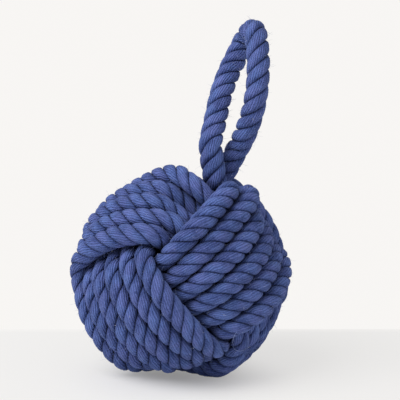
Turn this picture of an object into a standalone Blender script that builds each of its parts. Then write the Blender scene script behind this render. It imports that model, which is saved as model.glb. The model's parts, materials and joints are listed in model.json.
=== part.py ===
"""Rope knot doorstop: a monkey's fist tied in blue rope over a bag of sand, with a rope handle.

Metres, +Z up. The origin is on the floor under the middle of the bounding box, -Y faces the viewer.
The knot is one rope in three bands of turns. Each band lies over one neighbour and under the other.
"""

import math
from dataclasses import dataclass

import bmesh
import bpy
import numpy as np
from mathutils import Euler, Matrix, Vector

# Rope and knot. Where it is tucked, the rope is drawn down from its full diameter to the laid one.
ROPE_DIAMETER = 0.0140
LAID_DIAMETER = 0.0107
ROPE_GAP = 0.0006
TURNS_PER_BAND = 6
CORE_DIAMETER = 0.0903
BASE_FLATTENING = 0.005
KNOT_TILT_DEGREES = (24.3, 24.3, -118.2)
POINTS_PER_LOOP = 24
LEAVING_ANGLE = 25.0
TUCKED_ANGLE = 90.0
CORNER_RISE = 0.0010

# Handle. Its rope runs free, a little fuller than where it is drawn tight.
HANDLE_DIAMETER = 0.0146
HANDLE_HEIGHT = 0.0795
FOOT_DIRECTION = (0.31, 0.08, 0.95)
FOOT_RISE = 0.0108
HANDLE_ROUTE = (
    (-0.100, -0.083, 0.013),
    (-0.110, -0.066, 0.116),
    (-0.070, 0.050, 0.283),
    (-0.029, 0.161, 0.462),
    (0.034, 0.283, 0.633),
    (0.112, 0.377, 0.789),
    (0.178, 0.407, 0.916),
    (0.232, 0.269, 1.000),
    (0.258, 0.104, 0.969),
    (0.272, -0.009, 0.811),
    (0.269, -0.063, 0.621),
    (0.240, -0.072, 0.416),
    (0.181, -0.010, 0.209),
    (0.132, 0.068, 0.089),
    (0.078, 0.083, -0.013),
)
HANDLE_POINT_STEP = 0.5

# Uneven places of the filled bag about the knot's centre: direction, swell as a share of the
# radius (negative where it is pressed in), and reach in degrees
BAG_SWELLS = (
    ((-0.57, -0.19, -0.80), -0.132, 23.0),
    ((0.89, 0.21, 0.41), -0.134, 66.0),
    ((-0.965, 0.00, 0.262), 0.105, 32.0),
    ((0.60, -0.40, 0.70), 0.040, 25.0),
)

# Weighted bag inside the knot
BAG_WALL = 0.0012
NECK_RADIUS = 0.0045
NECK_HEIGHT = 0.0085
DIMPLE_RADIUS = 0.016
TWINE_DIAMETER = 0.0016
SEAT_GAP = 0.0003
BAG_SLACK = 0.0005
TURNED_STEPS = 28

# Values that follow from the sizes above
CORE_RADIUS = CORE_DIAMETER / 2
INNER_RADIUS = CORE_RADIUS + LAID_DIAMETER / 2
OUTER_RADIUS = INNER_RADIUS + LAID_DIAMETER
KNOT_RADIUS = CORE_RADIUS + LAID_DIAMETER + ROPE_DIAMETER
HANDLE_RADIUS = HANDLE_DIAMETER / 2
FOOT_CUT = ROPE_DIAMETER / 10
CENTRE_HEIGHT = KNOT_RADIUS - BASE_FLATTENING - FOOT_CUT
CORE_BASE_HEIGHT = LAID_DIAMETER + ROPE_DIAMETER - FOOT_CUT + 2 * SEAT_GAP
BAG_RADIUS = CORE_RADIUS - BAG_SLACK

ROPE_BLUE = (0.085, 0.110, 0.315, 1.0)
BAG_CREAM = (0.560, 0.500, 0.380, 1.0)
SAND_TAN = (0.480, 0.370, 0.230, 1.0)
TWINE_BROWN = (0.300, 0.200, 0.110, 1.0)


@dataclass(frozen=True)
class Band:
    """One band of parallel turns, seen in the knot's own cube of axes.

    Args:
        outward: axis index along which the turns bulge outermost
        tucked: axis index along which they pass under the next band
        across: axis index on which the turns lie side by side
        signs: direction of travel on the first two axes and of the step on the third
    """

    outward: int
    tucked: int
    across: int
    signs: tuple


BANDS = (
    Band(outward=0, tucked=2, across=1, signs=(-1, -1, 1)),
    Band(outward=2, tucked=1, across=0, signs=(1, 1, 1)),
    Band(outward=1, tucked=0, across=2, signs=(-1, 1, -1)),
)


def signed_power(value, exponent):
    """Raise a value's size to a power and keep its sign."""
    return math.copysign(abs(value) ** exponent, value)


def bag_swell(places):
    """How far the uneven bag reaches towards each place about its centre, as a share of its radius."""
    directions = places / np.linalg.norm(places, axis=1)[:, None]
    factor = np.ones(len(places))
    for towards, swell, reach in BAG_SWELLS:
        closeness = directions @ (np.array(towards) / np.linalg.norm(towards))
        factor += swell * np.exp((closeness - 1.0) / (1.0 - math.cos(math.radians(reach))))
    return factor


def turn_at(angle):
    """Number of whole turns done at an angle, with each step taken on one tucked stretch."""
    loops, phase = divmod(angle + 270.0, 360.0)
    stepped = min(max((phase - 120.0) / 120.0, 0.0), 1.0)
    return min(max(loops - 1.0 + stepped, 0.0), TURNS_PER_BAND - 1.0)


def band_path(band, start, end):
    """Points of one band: superellipses, rounder in the middle of the band than at its edges.

    Args:
        band: the Band to follow
        start: first angle in degrees, 0 at the middle of the first outer stretch
        end: last angle in degrees
    Returns: a list of points in the knot's cube, and the rope's diameter at each
    """
    pitch = 2 * math.asin(LAID_DIAMETER / (2 * OUTER_RADIUS))
    half_band = pitch * (TURNS_PER_BAND - 1) / 2
    count = round((end - start) * POINTS_PER_LOOP / 360.0)
    points, thickness = [], []
    for number in range(count + 1):
        angle = start + (end - start) * number / count
        side = half_band - pitch * turn_at(angle)
        offset = OUTER_RADIUS * math.sin(side)
        outer = math.sqrt(OUTER_RADIUS**2 - offset**2)
        inner = math.sqrt(INNER_RADIUS**2 - offset**2)
        squareness = 2.0 + 2.5 * (math.sin(side) / math.sin(half_band)) ** 2
        along = math.radians(angle)
        point = np.zeros(3)
        point[band.outward] = band.signs[0] * outer * signed_power(math.cos(along), 2 / squareness)
        point[band.tucked] = band.signs[1] * inner * signed_power(math.sin(along), 2 / squareness)
        point[band.across] = band.signs[2] * offset
        points.append(point)
        thickness.append(LAID_DIAMETER + (ROPE_DIAMETER - LAID_DIAMETER) * abs(math.cos(along)) ** 3)
    return points, thickness


def smooth_route(control, step):
    """Evenly spaced points on a Catmull-Rom curve through the control points."""
    control = [np.array(point, float) for point in control]
    ends = [2 * control[0] - control[1]] + control + [2 * control[-1] - control[-2]]
    fine = []
    samples = 16
    for index in range(len(control) - 1):
        before, first, second, after = ends[index:index + 4]
        for number in range(samples):
            part = number / samples
            fine.append(0.5 * (2 * first + (second - before) * part
                               + (2 * before - 5 * first + 4 * second - after) * part**2
                               + (3 * first - before - 3 * second + after) * part**3))
    fine.append(control[-1])
    fine = np.array(fine)
    length = np.concatenate([[0.0], np.cumsum(np.linalg.norm(np.diff(fine, axis=0), axis=1))])
    count = max(2, round(length[-1] / step) + 1)
    wanted = np.linspace(0.0, length[-1], count)
    return np.stack([np.interp(wanted, length, fine[:, axis]) for axis in range(3)], axis=1)


def round_corner(before, after, corner):
    """Points that lead the rope round a corner of the cube from one band to the next.

    Args:
        before: the last two points of the band that ends
        after: the first two points of the band that starts
        corner: signs of the corner's three coordinates
    Returns: the points between the bands
    """
    peak = np.array(corner) / math.sqrt(3.0) * (OUTER_RADIUS + CORNER_RISE)
    start, end = before[-1], after[0]
    points = []
    steps = 4
    for number in range(1, steps):
        part = number / steps
        points.append((1 - part) ** 2 * start + 2 * part * (1 - part) * (2 * peak - 0.5 * (start + end))
                      + part**2 * end)
    return points


def handle_route():
    """Centreline of the handle about the knot's centre, from the left foot to the right foot."""
    direction = np.array(FOOT_DIRECTION) / np.linalg.norm(FOOT_DIRECTION)
    foot = direction * (KNOT_RADIUS + FOOT_RISE)
    control = [foot + HANDLE_HEIGHT * np.array(point) for point in HANDLE_ROUTE]
    return smooth_route(control, HANDLE_POINT_STEP * ROPE_DIAMETER)


def root_points(foot, above):
    """Two points of a fixed root under a foot: its square end, and one rope diameter below."""
    down = (foot - above) / np.linalg.norm(foot - above)
    top = foot + down * (HANDLE_RADIUS + SEAT_GAP)
    return [top, top + down * ROPE_DIAMETER]


def first_paths():
    """Starting centrelines about the knot's centre, before the rope is drawn tight.

    Returns: the knot rope's points and diameters, the tucked end's points and diameters, and the
        numbers of the knot rope's points that stay put at first: the middle of each corner
    """
    turn = np.array(Euler([math.radians(angle) for angle in KNOT_TILT_DEGREES]).to_matrix())
    route = handle_route()
    last = 360.0 * (TURNS_PER_BAND - 1) + 180.0
    first_band, first_size = band_path(BANDS[0], -LEAVING_ANGLE, last + LEAVING_ANGLE)
    second_band, second_size = band_path(BANDS[1], -LEAVING_ANGLE, last + LEAVING_ANGLE)
    third_band, third_size = band_path(BANDS[2], -LEAVING_ANGLE, last + TUCKED_ANGLE)
    first_corner = round_corner(first_band[-2:], second_band[:2], (1, -1, 1))
    second_corner = round_corner(second_band[-2:], third_band[:2], (-1, -1, -1))
    knot = np.array(first_band + first_corner + second_band + second_corner + third_band) @ turn.T
    corners = [LAID_DIAMETER] * len(first_corner), [LAID_DIAMETER] * len(second_corner)
    size = [ROPE_DIAMETER] * 2 + first_size + corners[0] + second_size + corners[1] + third_size
    held = [2 + len(first_band) + 1, 2 + len(first_band) + len(first_corner) + len(second_band) + 1]
    knot *= bag_swell(knot)[:, None]
    knot = np.vstack([root_points(route[-1], route[-2]), knot])
    tuck_top = root_points(route[0], route[1])
    slot = turn @ np.array([0.0, INNER_RADIUS * 0.64, INNER_RADIUS * 0.77])
    run = turn @ np.array([1.0, 0.0, 0.0])
    steps = (-0.65, -0.40, -0.15)
    tucked = [slot + run * INNER_RADIUS * step for step in steps]
    tucked_size = [ROPE_DIAMETER] * 2 + [LAID_DIAMETER] * len(tucked)
    return knot, size, np.vstack([tuck_top, tucked]), tucked_size, held


def closest_points(first, second, third, fourth):
    """Nearest places of segment pairs, as shares along each, with the vector between them."""
    along_a, along_b, between = second - first, fourth - third, first - third
    aa = (along_a * along_a).sum(1)
    bb = (along_b * along_b).sum(1)
    ab = (along_a * along_b).sum(1)
    a0 = (along_a * between).sum(1)
    b0 = (along_b * between).sum(1)
    spread = np.maximum(aa * bb - ab * ab, 1e-18)
    share_a = np.clip((ab * b0 - a0 * bb) / spread, 0.0, 1.0)
    share_b = np.clip((ab * share_a + b0) / bb, 0.0, 1.0)
    share_a = np.clip((ab * share_b - a0) / aa, 0.0, 1.0)
    apart = between + share_a[:, None] * along_a - share_b[:, None] * along_b
    return share_a, share_b, apart


class TightRope:
    """Ropes drawn tight round the core: no closer than a diameter, outside the core, on the floor.

    Args:
        paths: a list of point arrays about the knot's centre
        thickness: the rope's diameter at each point of each path
        held: for each path, the indices of points that stay where they are
    """

    def __init__(self, paths, thickness, held):
        self.points = np.vstack(paths)
        self.radius = np.concatenate(thickness) / 2
        self.owner = np.concatenate([np.full(len(path), number) for number, path in enumerate(paths)])
        self.starts = np.cumsum([0] + [len(path) for path in paths])
        self.hold(held)
        same = self.owner[:-1] == self.owner[1:]
        self.segments = np.nonzero(same)[0]
        self.inner = np.nonzero(np.concatenate([[False], same[:-1] & same[1:], [False]]))[0]
        self.segment_radius = np.maximum(self.radius[:-1], self.radius[1:])

    def hold(self, held):
        """Say which points of each path stay where they are."""
        self.free = np.ones(len(self.points), bool)
        for start, indices in zip(self.starts, held):
            self.free[[start + index for index in indices]] = False

    def find_neighbours(self):
        """Pairs of segments that may touch, other than neighbours along one rope."""
        begin, end = self.points[self.segments], self.points[self.segments + 1]
        half = 0.5 * np.linalg.norm(end - begin, axis=1)
        centre = 0.5 * (begin + end)
        reach = np.linalg.norm(centre[:, None] - centre[None], axis=2) - half[:, None] - half[None]
        steps = np.linalg.norm(np.diff(self.points, axis=0), axis=1)
        travelled = np.concatenate([[0.0], np.cumsum(steps)])[self.segments] + half
        along = np.abs(travelled[:, None] - travelled[None]) - half[:, None] - half[None]
        owner = self.owner[self.segments]
        other = owner[:, None] != owner[None]
        near = (reach < 1.4 * ROPE_DIAMETER) & (other | (along > 1.25 * ROPE_DIAMETER))
        rows, columns = np.nonzero(np.triu(near, 1))
        self.pairs = self.segments[rows], self.segments[columns]

    def least_gap(self, owner):
        """Smallest gap of one rope to itself, measured between its segments."""
        self.find_neighbours()
        one, two = self.pairs
        own = (self.owner[one] == owner) & (self.owner[two] == owner)
        one, two = one[own], two[own]
        points = self.points
        apart = closest_points(points[one], points[one + 1], points[two], points[two + 1])[2]
        radii = self.segment_radius[one] + self.segment_radius[two] - ROPE_GAP
        return (np.linalg.norm(apart, axis=1) - radii).min()

    def part_ropes(self):
        """Push segments apart where they are closer than one diameter."""
        one, two = self.pairs
        points = self.points
        share_one, share_two, apart = closest_points(points[one], points[one + 1],
                                                     points[two], points[two + 1])
        distance = np.linalg.norm(apart, axis=1)
        wanted = self.segment_radius[one] + self.segment_radius[two]
        close = distance < wanted
        push = 0.35 * ((wanted - distance) / distance)[close, None] * apart[close]
        moved = np.zeros_like(points)
        one, two = one[close], two[close]
        share_one, share_two = share_one[close, None], share_two[close, None]
        np.add.at(moved, one, push * (1 - share_one))
        np.add.at(moved, one + 1, push * share_one)
        np.add.at(moved, two, -push * (1 - share_two))
        np.add.at(moved, two + 1, -push * share_two)
        points[self.free] += moved[self.free]

    def clear_core(self):
        """Keep points and segment middles outside the core, whose underside is flat."""
        base = CORE_BASE_HEIGHT - CENTRE_HEIGHT
        middles = 0.5 * (self.points[self.segments] + self.points[self.segments + 1])
        for places, radii, targets in (
                (self.points, self.radius, (np.arange(len(self.points)),)),
                (middles, self.segment_radius[self.segments], (self.segments, self.segments + 1))):
            reach = np.linalg.norm(places, axis=1)
            above = reach - CORE_RADIUS * bag_swell(places)
            below = base - places[:, 2]
            depth = radii + SEAT_GAP - np.maximum(above, below)
            inside = depth > 0.0
            outward = places / reach[:, None]
            outward[below > above] = (0.0, 0.0, -1.0)
            for target in targets:
                moved = np.zeros_like(self.points)
                moved[target[inside]] = outward[inside] * depth[inside, None]
                self.points[self.free] += moved[self.free]

    def rest_on_floor(self):
        """Keep points no lower than a rope that lies on the floor."""
        lowest = self.radius - FOOT_CUT - CENTRE_HEIGHT
        sunk = self.free & (self.points[:, 2] < lowest)
        self.points[sunk, 2] = lowest[sunk]

    def draw_tight(self, rounds, tension):
        """Shorten the ropes a little each round while everything stays clear.

        Args:
            rounds: how many times to pull and part
            tension: share of the way to straight that each point goes in the first round
        """
        middle = self.inner[self.free[self.inner]]
        for number in range(rounds):
            if number % 8 == 0:
                self.find_neighbours()
            pull = tension * (1.0 - number / rounds)
            points = self.points
            straightened = 0.5 * (points[middle - 1] + points[middle + 1])
            points[middle] += pull * (straightened - points[middle])
            for _ in range(3):
                self.part_ropes()
                self.clear_core()
                self.rest_on_floor()


def drawn_ropes():
    """The knot rope and the tucked end drawn tight beside the handle, as a TightRope."""
    knot, knot_size, tucked, tucked_size, corners = first_paths()
    handle = handle_route()
    thickness = [knot_size, tucked_size, np.full(len(handle), HANDLE_DIAMETER + ROPE_GAP)]
    handle_points = range(len(handle))
    ropes = TightRope([knot, tucked, handle], thickness, held=[[0, 1] + corners, (0, 1), handle_points])
    ropes.draw_tight(rounds=300, tension=0.15)
    ropes.hold([(0, 1), (0, 1), handle_points])
    ropes.draw_tight(rounds=60, tension=0.03)
    ropes.draw_tight(rounds=60, tension=0.0)
    return ropes


def make_material(name, colour, roughness):
    """A Principled material with a plain colour."""
    material = bpy.data.materials.new(name)
    material.use_nodes = True
    shader = material.node_tree.nodes["Principled BSDF"]
    shader.inputs["Base Color"].default_value = colour
    shader.inputs["Roughness"].default_value = roughness
    shader.inputs["Metallic"].default_value = 0.0
    material.diffuse_color = colour
    return material


def new_collection(name):
    """A collection linked to the scene."""
    collection = bpy.data.collections.new(name)
    bpy.context.scene.collection.children.link(collection)
    return collection


def tube_object(name, points, radius, sides_level, collection, material, radii=None):
    """A rope as a bevelled poly curve made into a closed mesh.

    Args:
        name: object name
        points: centreline points
        radius: tube radius
        sides_level: bevel resolution, 1 for six sides and 2 for eight
        collection: collection that takes the object
        material: its material
        radii: optional radius factor of each point
    Returns: the mesh object
    """
    curve = bpy.data.curves.new(name + "_line", "CURVE")
    curve.dimensions = "3D"
    curve.bevel_depth = radius
    curve.bevel_resolution = sides_level
    curve.resolution_u = 1
    curve.render_resolution_u = 0
    curve.use_fill_caps = True
    spline = curve.splines.new("POLY")
    spline.points.add(len(points) - 1)
    for number, point in enumerate(points):
        spline.points[number].co = (*point, 1.0)
        if radii is not None:
            spline.points[number].radius = radii[number]
    line = bpy.data.objects.new(name + "_line", curve)
    bpy.context.scene.collection.objects.link(line)
    graph = bpy.context.evaluated_depsgraph_get()
    mesh = bpy.data.meshes.new_from_object(line.evaluated_get(graph))
    body = bmesh.new()
    body.from_mesh(mesh)
    bmesh.ops.remove_doubles(body, verts=body.verts, dist=1e-6)
    body.to_mesh(mesh)
    body.free()
    mesh.name = name
    mesh.materials.clear()
    mesh.materials.append(material)
    mesh.shade_smooth()
    thing = bpy.data.objects.new(name, mesh)
    thing.matrix_world = line.matrix_world
    collection.objects.link(thing)
    bpy.data.objects.remove(line)
    bpy.data.curves.remove(curve)
    return thing


def press_uneven(mesh, inset):
    """Give a body inside the knot the bag's uneven shape, and keep its base flat.

    Args:
        mesh: its mesh, about the knot's centre
        inset: how far it lies inside the bag's outer face
    """
    places = np.array([vertex.co for vertex in mesh.vertices])
    base = places[:, 2].min()
    on_axis = np.linalg.norm(places, axis=1) < 1e-6
    share = (BAG_RADIUS * bag_swell(places + on_axis[:, None]) - inset) / (BAG_RADIUS - inset)
    pressed = places * share[:, None]
    pressed[:, 2] = np.where(places[:, 2] < base + 1e-6, base, np.maximum(pressed[:, 2], base))
    for vertex, place in zip(mesh.vertices, pressed):
        vertex.co = place


def turned_object(name, profile, centre, collection, material, inset=0.0):
    """A turned body about a vertical axis, pressed uneven as the bag is.

    Args:
        name: object name
        profile: its outer profile from top to bottom, as (radius, height) pairs
        centre: the knot's centre
        collection: collection that takes the object
        material: its material
        inset: how far it lies inside the bag's outer face
    Returns: the object
    """
    mesh = bpy.data.meshes.new(name)
    thing = bpy.data.objects.new(name, mesh)
    collection.objects.link(thing)
    body = bmesh.new()
    verts = [body.verts.new((radius, 0.0, height)) for radius, height in profile]
    for first, second in zip(verts, verts[1:]):
        body.edges.new((first, second))
    body.to_mesh(mesh)
    body.free()
    thing.location = centre
    mesh.materials.append(material)
    screw = thing.modifiers.new("turn", "SCREW")
    screw.axis = "Z"
    screw.steps = TURNED_STEPS
    screw.render_steps = TURNED_STEPS
    screw.use_merge_vertices = True
    screw.merge_threshold = 1e-5
    screw.use_smooth_shade = True
    graph = bpy.context.evaluated_depsgraph_get()
    thing.data = bpy.data.meshes.new_from_object(thing.evaluated_get(graph))
    thing.modifiers.clear()
    press_uneven(thing.data, inset)
    return thing


def arc(centre, radius, start, end, steps):
    """Points of an arc as (radius, height) pairs, angles in degrees from the horizontal."""
    angles = [math.radians(start + (end - start) * number / steps) for number in range(steps + 1)]
    return [(centre[0] + radius * math.cos(angle), centre[1] + radius * math.sin(angle)) for angle in angles]


def rim_height():
    """Height of the dimple's rim above the knot's centre."""
    return math.sqrt(BAG_RADIUS**2 - DIMPLE_RADIUS**2)


def bag_profile():
    """Outer profile of the filled bag about the knot's centre, from its neck down to its base."""
    floor = rim_height() - NECK_HEIGHT
    base = CORE_BASE_HEIGHT + BAG_SLACK - CENTRE_HEIGHT
    rim_angle = math.degrees(math.acos(DIMPLE_RADIUS / BAG_RADIUS))
    base_angle = math.degrees(math.asin(base / BAG_RADIUS))
    neck = [(NECK_RADIUS, rim_height()), (NECK_RADIUS, floor + 0.0015), (NECK_RADIUS + 0.002, floor)]
    return neck + arc((0.0, 0.0), BAG_RADIUS, rim_angle - 4.0, base_angle, 20) + [(0.0, base)]


def sand_profile():
    """Profile of the sand, level at the top and flat underneath, clear of the bag's wall."""
    inset = BAG_WALL + SEAT_GAP
    radius = BAG_RADIUS - inset
    level = rim_height() - NECK_HEIGHT - inset
    base = CORE_BASE_HEIGHT + BAG_SLACK - CENTRE_HEIGHT + inset
    level_angle = math.degrees(math.asin(level / radius))
    base_angle = math.degrees(math.asin(base / radius))
    return [(0.0, level)] + arc((0.0, 0.0), radius, level_angle, base_angle, 20) + [(0.0, base)]


def build_knot(collection, cutters, material):
    """The knot rope and the handle's tucked end, drawn tight and cut flat where the knot stands.

    Returns: the knot's centre, placed so that the bounding box is centred over the origin
    """
    ropes = drawn_ropes()
    print(f"least gap of the knot rope to itself: {ropes.least_gap(owner=0) * 1000:.2f} mm")
    tubes = []
    for owner, name in enumerate(("knot_rope", "tucked_end")):
        mine = ropes.owner == owner
        radii = (ropes.radius[mine] - ROPE_GAP / 2) / HANDLE_RADIUS
        tubes.append(tube_object(name, ropes.points[mine], HANDLE_RADIUS, 1, collection, material, radii))
    knot_rope = tubes[0]
    places = np.array([vertex.co for vertex in knot_rope.data.vertices])
    middle = 0.5 * (places.min(axis=0) + places.max(axis=0))
    centre = Vector((-middle[0], -middle[1], CENTRE_HEIGHT))
    for tube in tubes:
        tube.data.transform(Matrix.Translation(centre))
    bpy.ops.mesh.primitive_cube_add(size=1.0)
    floor_cutter = bpy.context.object
    floor_cutter.name = "floor_cutter"
    floor_cutter.scale = (3 * KNOT_RADIUS, 3 * KNOT_RADIUS, KNOT_RADIUS)
    floor_cutter.location = (0.0, 0.0, -KNOT_RADIUS / 2)
    for owner in list(floor_cutter.users_collection):
        owner.objects.unlink(floor_cutter)
    cutters.objects.link(floor_cutter)
    floor_cutter.hide_render = True
    floor_cutter.display_type = "WIRE"
    cut = knot_rope.modifiers.new("flat_foot", "BOOLEAN")
    cut.operation = "DIFFERENCE"
    cut.solver = "EXACT"
    cut.object = floor_cutter
    return centre


def build_handle(collection, material, centre):
    """The handle's rope: its rounded ends turn on the line through both feet."""
    route = handle_route() + np.array(centre)
    pivot = 0.5 * (route[0] + route[-1])
    caps = [(0.999, 0.06), (0.86, 0.51), (0.5, 0.866)]
    below_first = (route[0] - route[1]) / np.linalg.norm(route[0] - route[1])
    below_last = (route[-1] - route[-2]) / np.linalg.norm(route[-1] - route[-2])
    points = [route[0] + below_first * HANDLE_RADIUS * depth for depth, _ in caps]
    points += list(route)
    points += [route[-1] + below_last * HANDLE_RADIUS * depth for depth, _ in reversed(caps)]
    sizes = [size for _, size in caps]
    radii = sizes + [1.0] * len(route) + sizes[::-1]
    hinge = bpy.data.objects.new("handle_hinge", None)
    hinge.location = pivot
    collection.objects.link(hinge)
    local = [point - pivot for point in points]
    handle = tube_object("handle_loop", local, HANDLE_RADIUS, 2, collection, material, radii)
    handle.parent = hinge
    axis = route[-1] - route[0]
    print("knot centre at", [round(float(value), 5) for value in centre])
    print("hinge at", [round(float(value), 5) for value in pivot],
          "along", [round(float(value), 4) for value in axis / np.linalg.norm(axis)])
    return handle


def build_core(collection, centre):
    """The bag with its gathered neck, the sand in it and the twine round the neck."""
    cloth = make_material("bag_cotton", BAG_CREAM, 0.9)
    sand = make_material("sand", SAND_TAN, 0.95)
    twine = make_material("twine", TWINE_BROWN, 0.85)
    bag = turned_object("sand_bag", bag_profile(), centre, collection, cloth)
    wall = bag.modifiers.new("wall", "SOLIDIFY")
    wall.thickness = BAG_WALL
    wall.offset = -1.0
    turned_object("sand_fill", sand_profile(), centre, collection, sand, BAG_WALL + SEAT_GAP)
    ring_height = rim_height() - NECK_HEIGHT / 2
    pressed = float(bag_swell(np.array([[0.0, 0.0, ring_height]]))[0])
    ring_radius = NECK_RADIUS * pressed + SEAT_GAP + TWINE_DIAMETER / 2
    ring_place = (centre[0], centre[1], centre[2] + ring_height * pressed)
    bpy.ops.mesh.primitive_torus_add(major_radius=ring_radius, minor_radius=TWINE_DIAMETER / 2,
                                     major_segments=24, minor_segments=8, location=ring_place)
    tie = bpy.context.object
    tie.name = "neck_twine"
    for owner in list(tie.users_collection):
        owner.objects.unlink(tie)
    collection.objects.link(tie)
    tie.data.materials.append(twine)


def main():
    """Clear the scene and build the doorstop."""
    for thing in list(bpy.data.objects):
        bpy.data.objects.remove(thing)
    parts = new_collection("rope_knot_doorstop")
    cutters = new_collection("doorstop_cutters")
    rope = make_material("blue_rope", ROPE_BLUE, 0.85)
    centre = build_knot(parts, cutters, rope)
    build_handle(parts, rope, centre)
    build_core(parts, centre)


main()
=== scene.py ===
"""The looks of the rope knot doorstop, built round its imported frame.

The rope is laid from three strands along the same route as the solids: drawn tight round the sand
bag, up through the handle and down again. Metres, +Z up, -Y faces the viewer.
"""

from __future__ import annotations

import json
import logging
import math
from collections.abc import Callable, Iterator
from dataclasses import dataclass
from enum import Enum

import bpy
import numpy as np
from mathutils import Euler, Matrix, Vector
from mathutils.bvhtree import BVHTree

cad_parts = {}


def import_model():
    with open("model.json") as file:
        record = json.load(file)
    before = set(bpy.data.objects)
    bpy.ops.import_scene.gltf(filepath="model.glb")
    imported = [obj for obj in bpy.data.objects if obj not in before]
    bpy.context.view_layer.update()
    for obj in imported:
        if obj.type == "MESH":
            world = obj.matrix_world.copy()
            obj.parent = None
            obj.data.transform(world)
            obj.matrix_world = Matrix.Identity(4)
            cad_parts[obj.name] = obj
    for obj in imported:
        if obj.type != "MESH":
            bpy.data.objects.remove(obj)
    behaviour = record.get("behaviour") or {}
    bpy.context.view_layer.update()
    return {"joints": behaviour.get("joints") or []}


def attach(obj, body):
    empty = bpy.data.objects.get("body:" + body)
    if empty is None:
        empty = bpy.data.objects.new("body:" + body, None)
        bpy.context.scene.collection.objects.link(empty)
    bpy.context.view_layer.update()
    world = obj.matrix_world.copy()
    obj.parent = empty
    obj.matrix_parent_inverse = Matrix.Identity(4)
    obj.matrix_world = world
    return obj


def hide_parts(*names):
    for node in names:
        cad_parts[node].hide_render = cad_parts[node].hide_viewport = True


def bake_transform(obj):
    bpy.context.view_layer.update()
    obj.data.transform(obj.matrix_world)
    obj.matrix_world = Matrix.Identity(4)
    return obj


LOG = logging.getLogger("doorstop")
ROWS_AT_ONCE = 256
Place = tuple[float, float, float]
Colour = tuple[float, float, float, float]
Face = tuple[int, ...]


class Axis(Enum):
    """The three axes of the knot's own cube."""

    FIRST = 0
    SECOND = 1
    THIRD = 2


@dataclass(frozen=True)
class RopeSizes:
    """Sizes of the rope, the same as in the solids.

    Args:
        full: diameter where it runs free
        laid: diameter where it is tucked under another turn
        gap: play between two turns
        lay: length of one whole turn of the strands
        strands: how many strands are laid together
    """

    full: float = 0.0140
    laid: float = 0.0107
    gap: float = 0.0006
    lay: float = 0.0292
    strands: int = 3


@dataclass(frozen=True)
class KnotSizes:
    """Sizes of the knot, the same as in the solids.

    Args:
        core: diameter of the filled bag
        turns: turns in each band
        base_flattening: how much lower the ball is than a round one
        tilt: how the knot's cube is turned, in degrees
        points_per_loop: points on one turn before it is drawn tight
        leaving_angle: how far a band runs on past its outer stretches, in degrees
        tucked_angle: how far the last band runs on, in degrees
        stepping: where a turn starts to step sideways and how long it steps, in degrees
        squareness: power of the middle turn's outline, and how much the outermost turns add
        corner_rise: how far the rope stands out where it rounds a corner
        seat_gap: play between rope and bag
        tail_slot: where the tucked end lies on two of the cube's axes, in inner radii
        tail_steps: where its points lie on the third, in inner radii
        swells: direction, height and reach in degrees of each swelling of the uneven bag
    """

    core: float = 0.0903
    turns: int = 6
    base_flattening: float = 0.005
    tilt: Place = (24.3, 24.3, -118.2)
    points_per_loop: int = 24
    leaving_angle: float = 25.0
    tucked_angle: float = 90.0
    stepping: tuple[float, float] = (120.0, 120.0)
    squareness: tuple[float, float] = (2.0, 2.5)
    corner_rise: float = 0.0010
    seat_gap: float = 0.0003
    tail_slot: tuple[float, float] = (0.64, 0.77)
    tail_steps: Place = (-0.65, -0.40, -0.15)
    swells: tuple[tuple[Place, float, float], ...] = (
        ((-0.57, -0.19, -0.80), -0.132, 23.0),
        ((0.89, 0.21, 0.41), -0.134, 66.0),
        ((-0.965, 0.00, 0.262), 0.105, 32.0),
        ((0.60, -0.40, 0.70), 0.040, 25.0),
    )

    def swell(self, places: np.ndarray) -> np.ndarray:
        """How far the uneven bag reaches towards each place.

        Args:
            places: places about the knot's centre
        Returns:
            a share of the bag's radius for each
        """
        directions = unit(places)
        factor = np.ones(len(places))
        for towards, height, reach in self.swells:
            closeness = directions @ (np.array(towards) / np.linalg.norm(towards))
            factor += height * np.exp((closeness - 1.0) / (1.0 - math.cos(math.radians(reach))))
        return factor


@dataclass(frozen=True)
class HandleSizes:
    """Sizes of the handle, the same as in the solids.

    Args:
        diameter: diameter of its rope
        height: height of the loop
        foot_direction: from the knot's centre towards the middle between its feet
        foot_rise: height of the feet above an even ball
        point_step: distance between its points, in rope diameters
        route: its middle line from the left foot to the right one, in multiples of its height
    """

    diameter: float = 0.0146
    height: float = 0.0795
    foot_direction: Place = (0.31, 0.08, 0.95)
    foot_rise: float = 0.0108
    point_step: float = 0.5
    route: tuple[Place, ...] = (
        (-0.100, -0.083, 0.013),
        (-0.110, -0.066, 0.116),
        (-0.070, 0.050, 0.283),
        (-0.029, 0.161, 0.462),
        (0.034, 0.283, 0.633),
        (0.112, 0.377, 0.789),
        (0.178, 0.407, 0.916),
        (0.232, 0.269, 1.000),
        (0.258, 0.104, 0.969),
        (0.272, -0.009, 0.811),
        (0.269, -0.063, 0.621),
        (0.240, -0.072, 0.416),
        (0.181, -0.010, 0.209),
        (0.132, 0.068, 0.089),
        (0.078, 0.083, -0.013),
    )


@dataclass(frozen=True)
class BagSizes:
    """Sizes of the bag under the knot and what belongs to it, the same as in the solids.

    Args:
        slack: how far the bag lies inside the rope's seat
        wall: thickness of the cloth with its folds
        neck_radius: outer radius of the gathered neck
        neck_height: its height above the dimple's floor
        dimple: radius of the dimple that it stands in
        gap: play between the pieces
    """

    slack: float = 0.0005
    wall: float = 0.0012
    neck_radius: float = 0.0045
    neck_height: float = 0.0085
    dimple: float = 0.016
    gap: float = 0.0003


@dataclass(frozen=True)
class Band:
    """One band of parallel turns in the knot's cube.

    Args:
        outward: axis along which the turns bulge outermost
        tucked: axis along which they pass under the next band
        across: axis on which the turns lie side by side
        signs: direction of travel on the first two axes and of the step on the third
    """

    outward: Axis
    tucked: Axis
    across: Axis
    signs: tuple[int, int, int]


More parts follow.
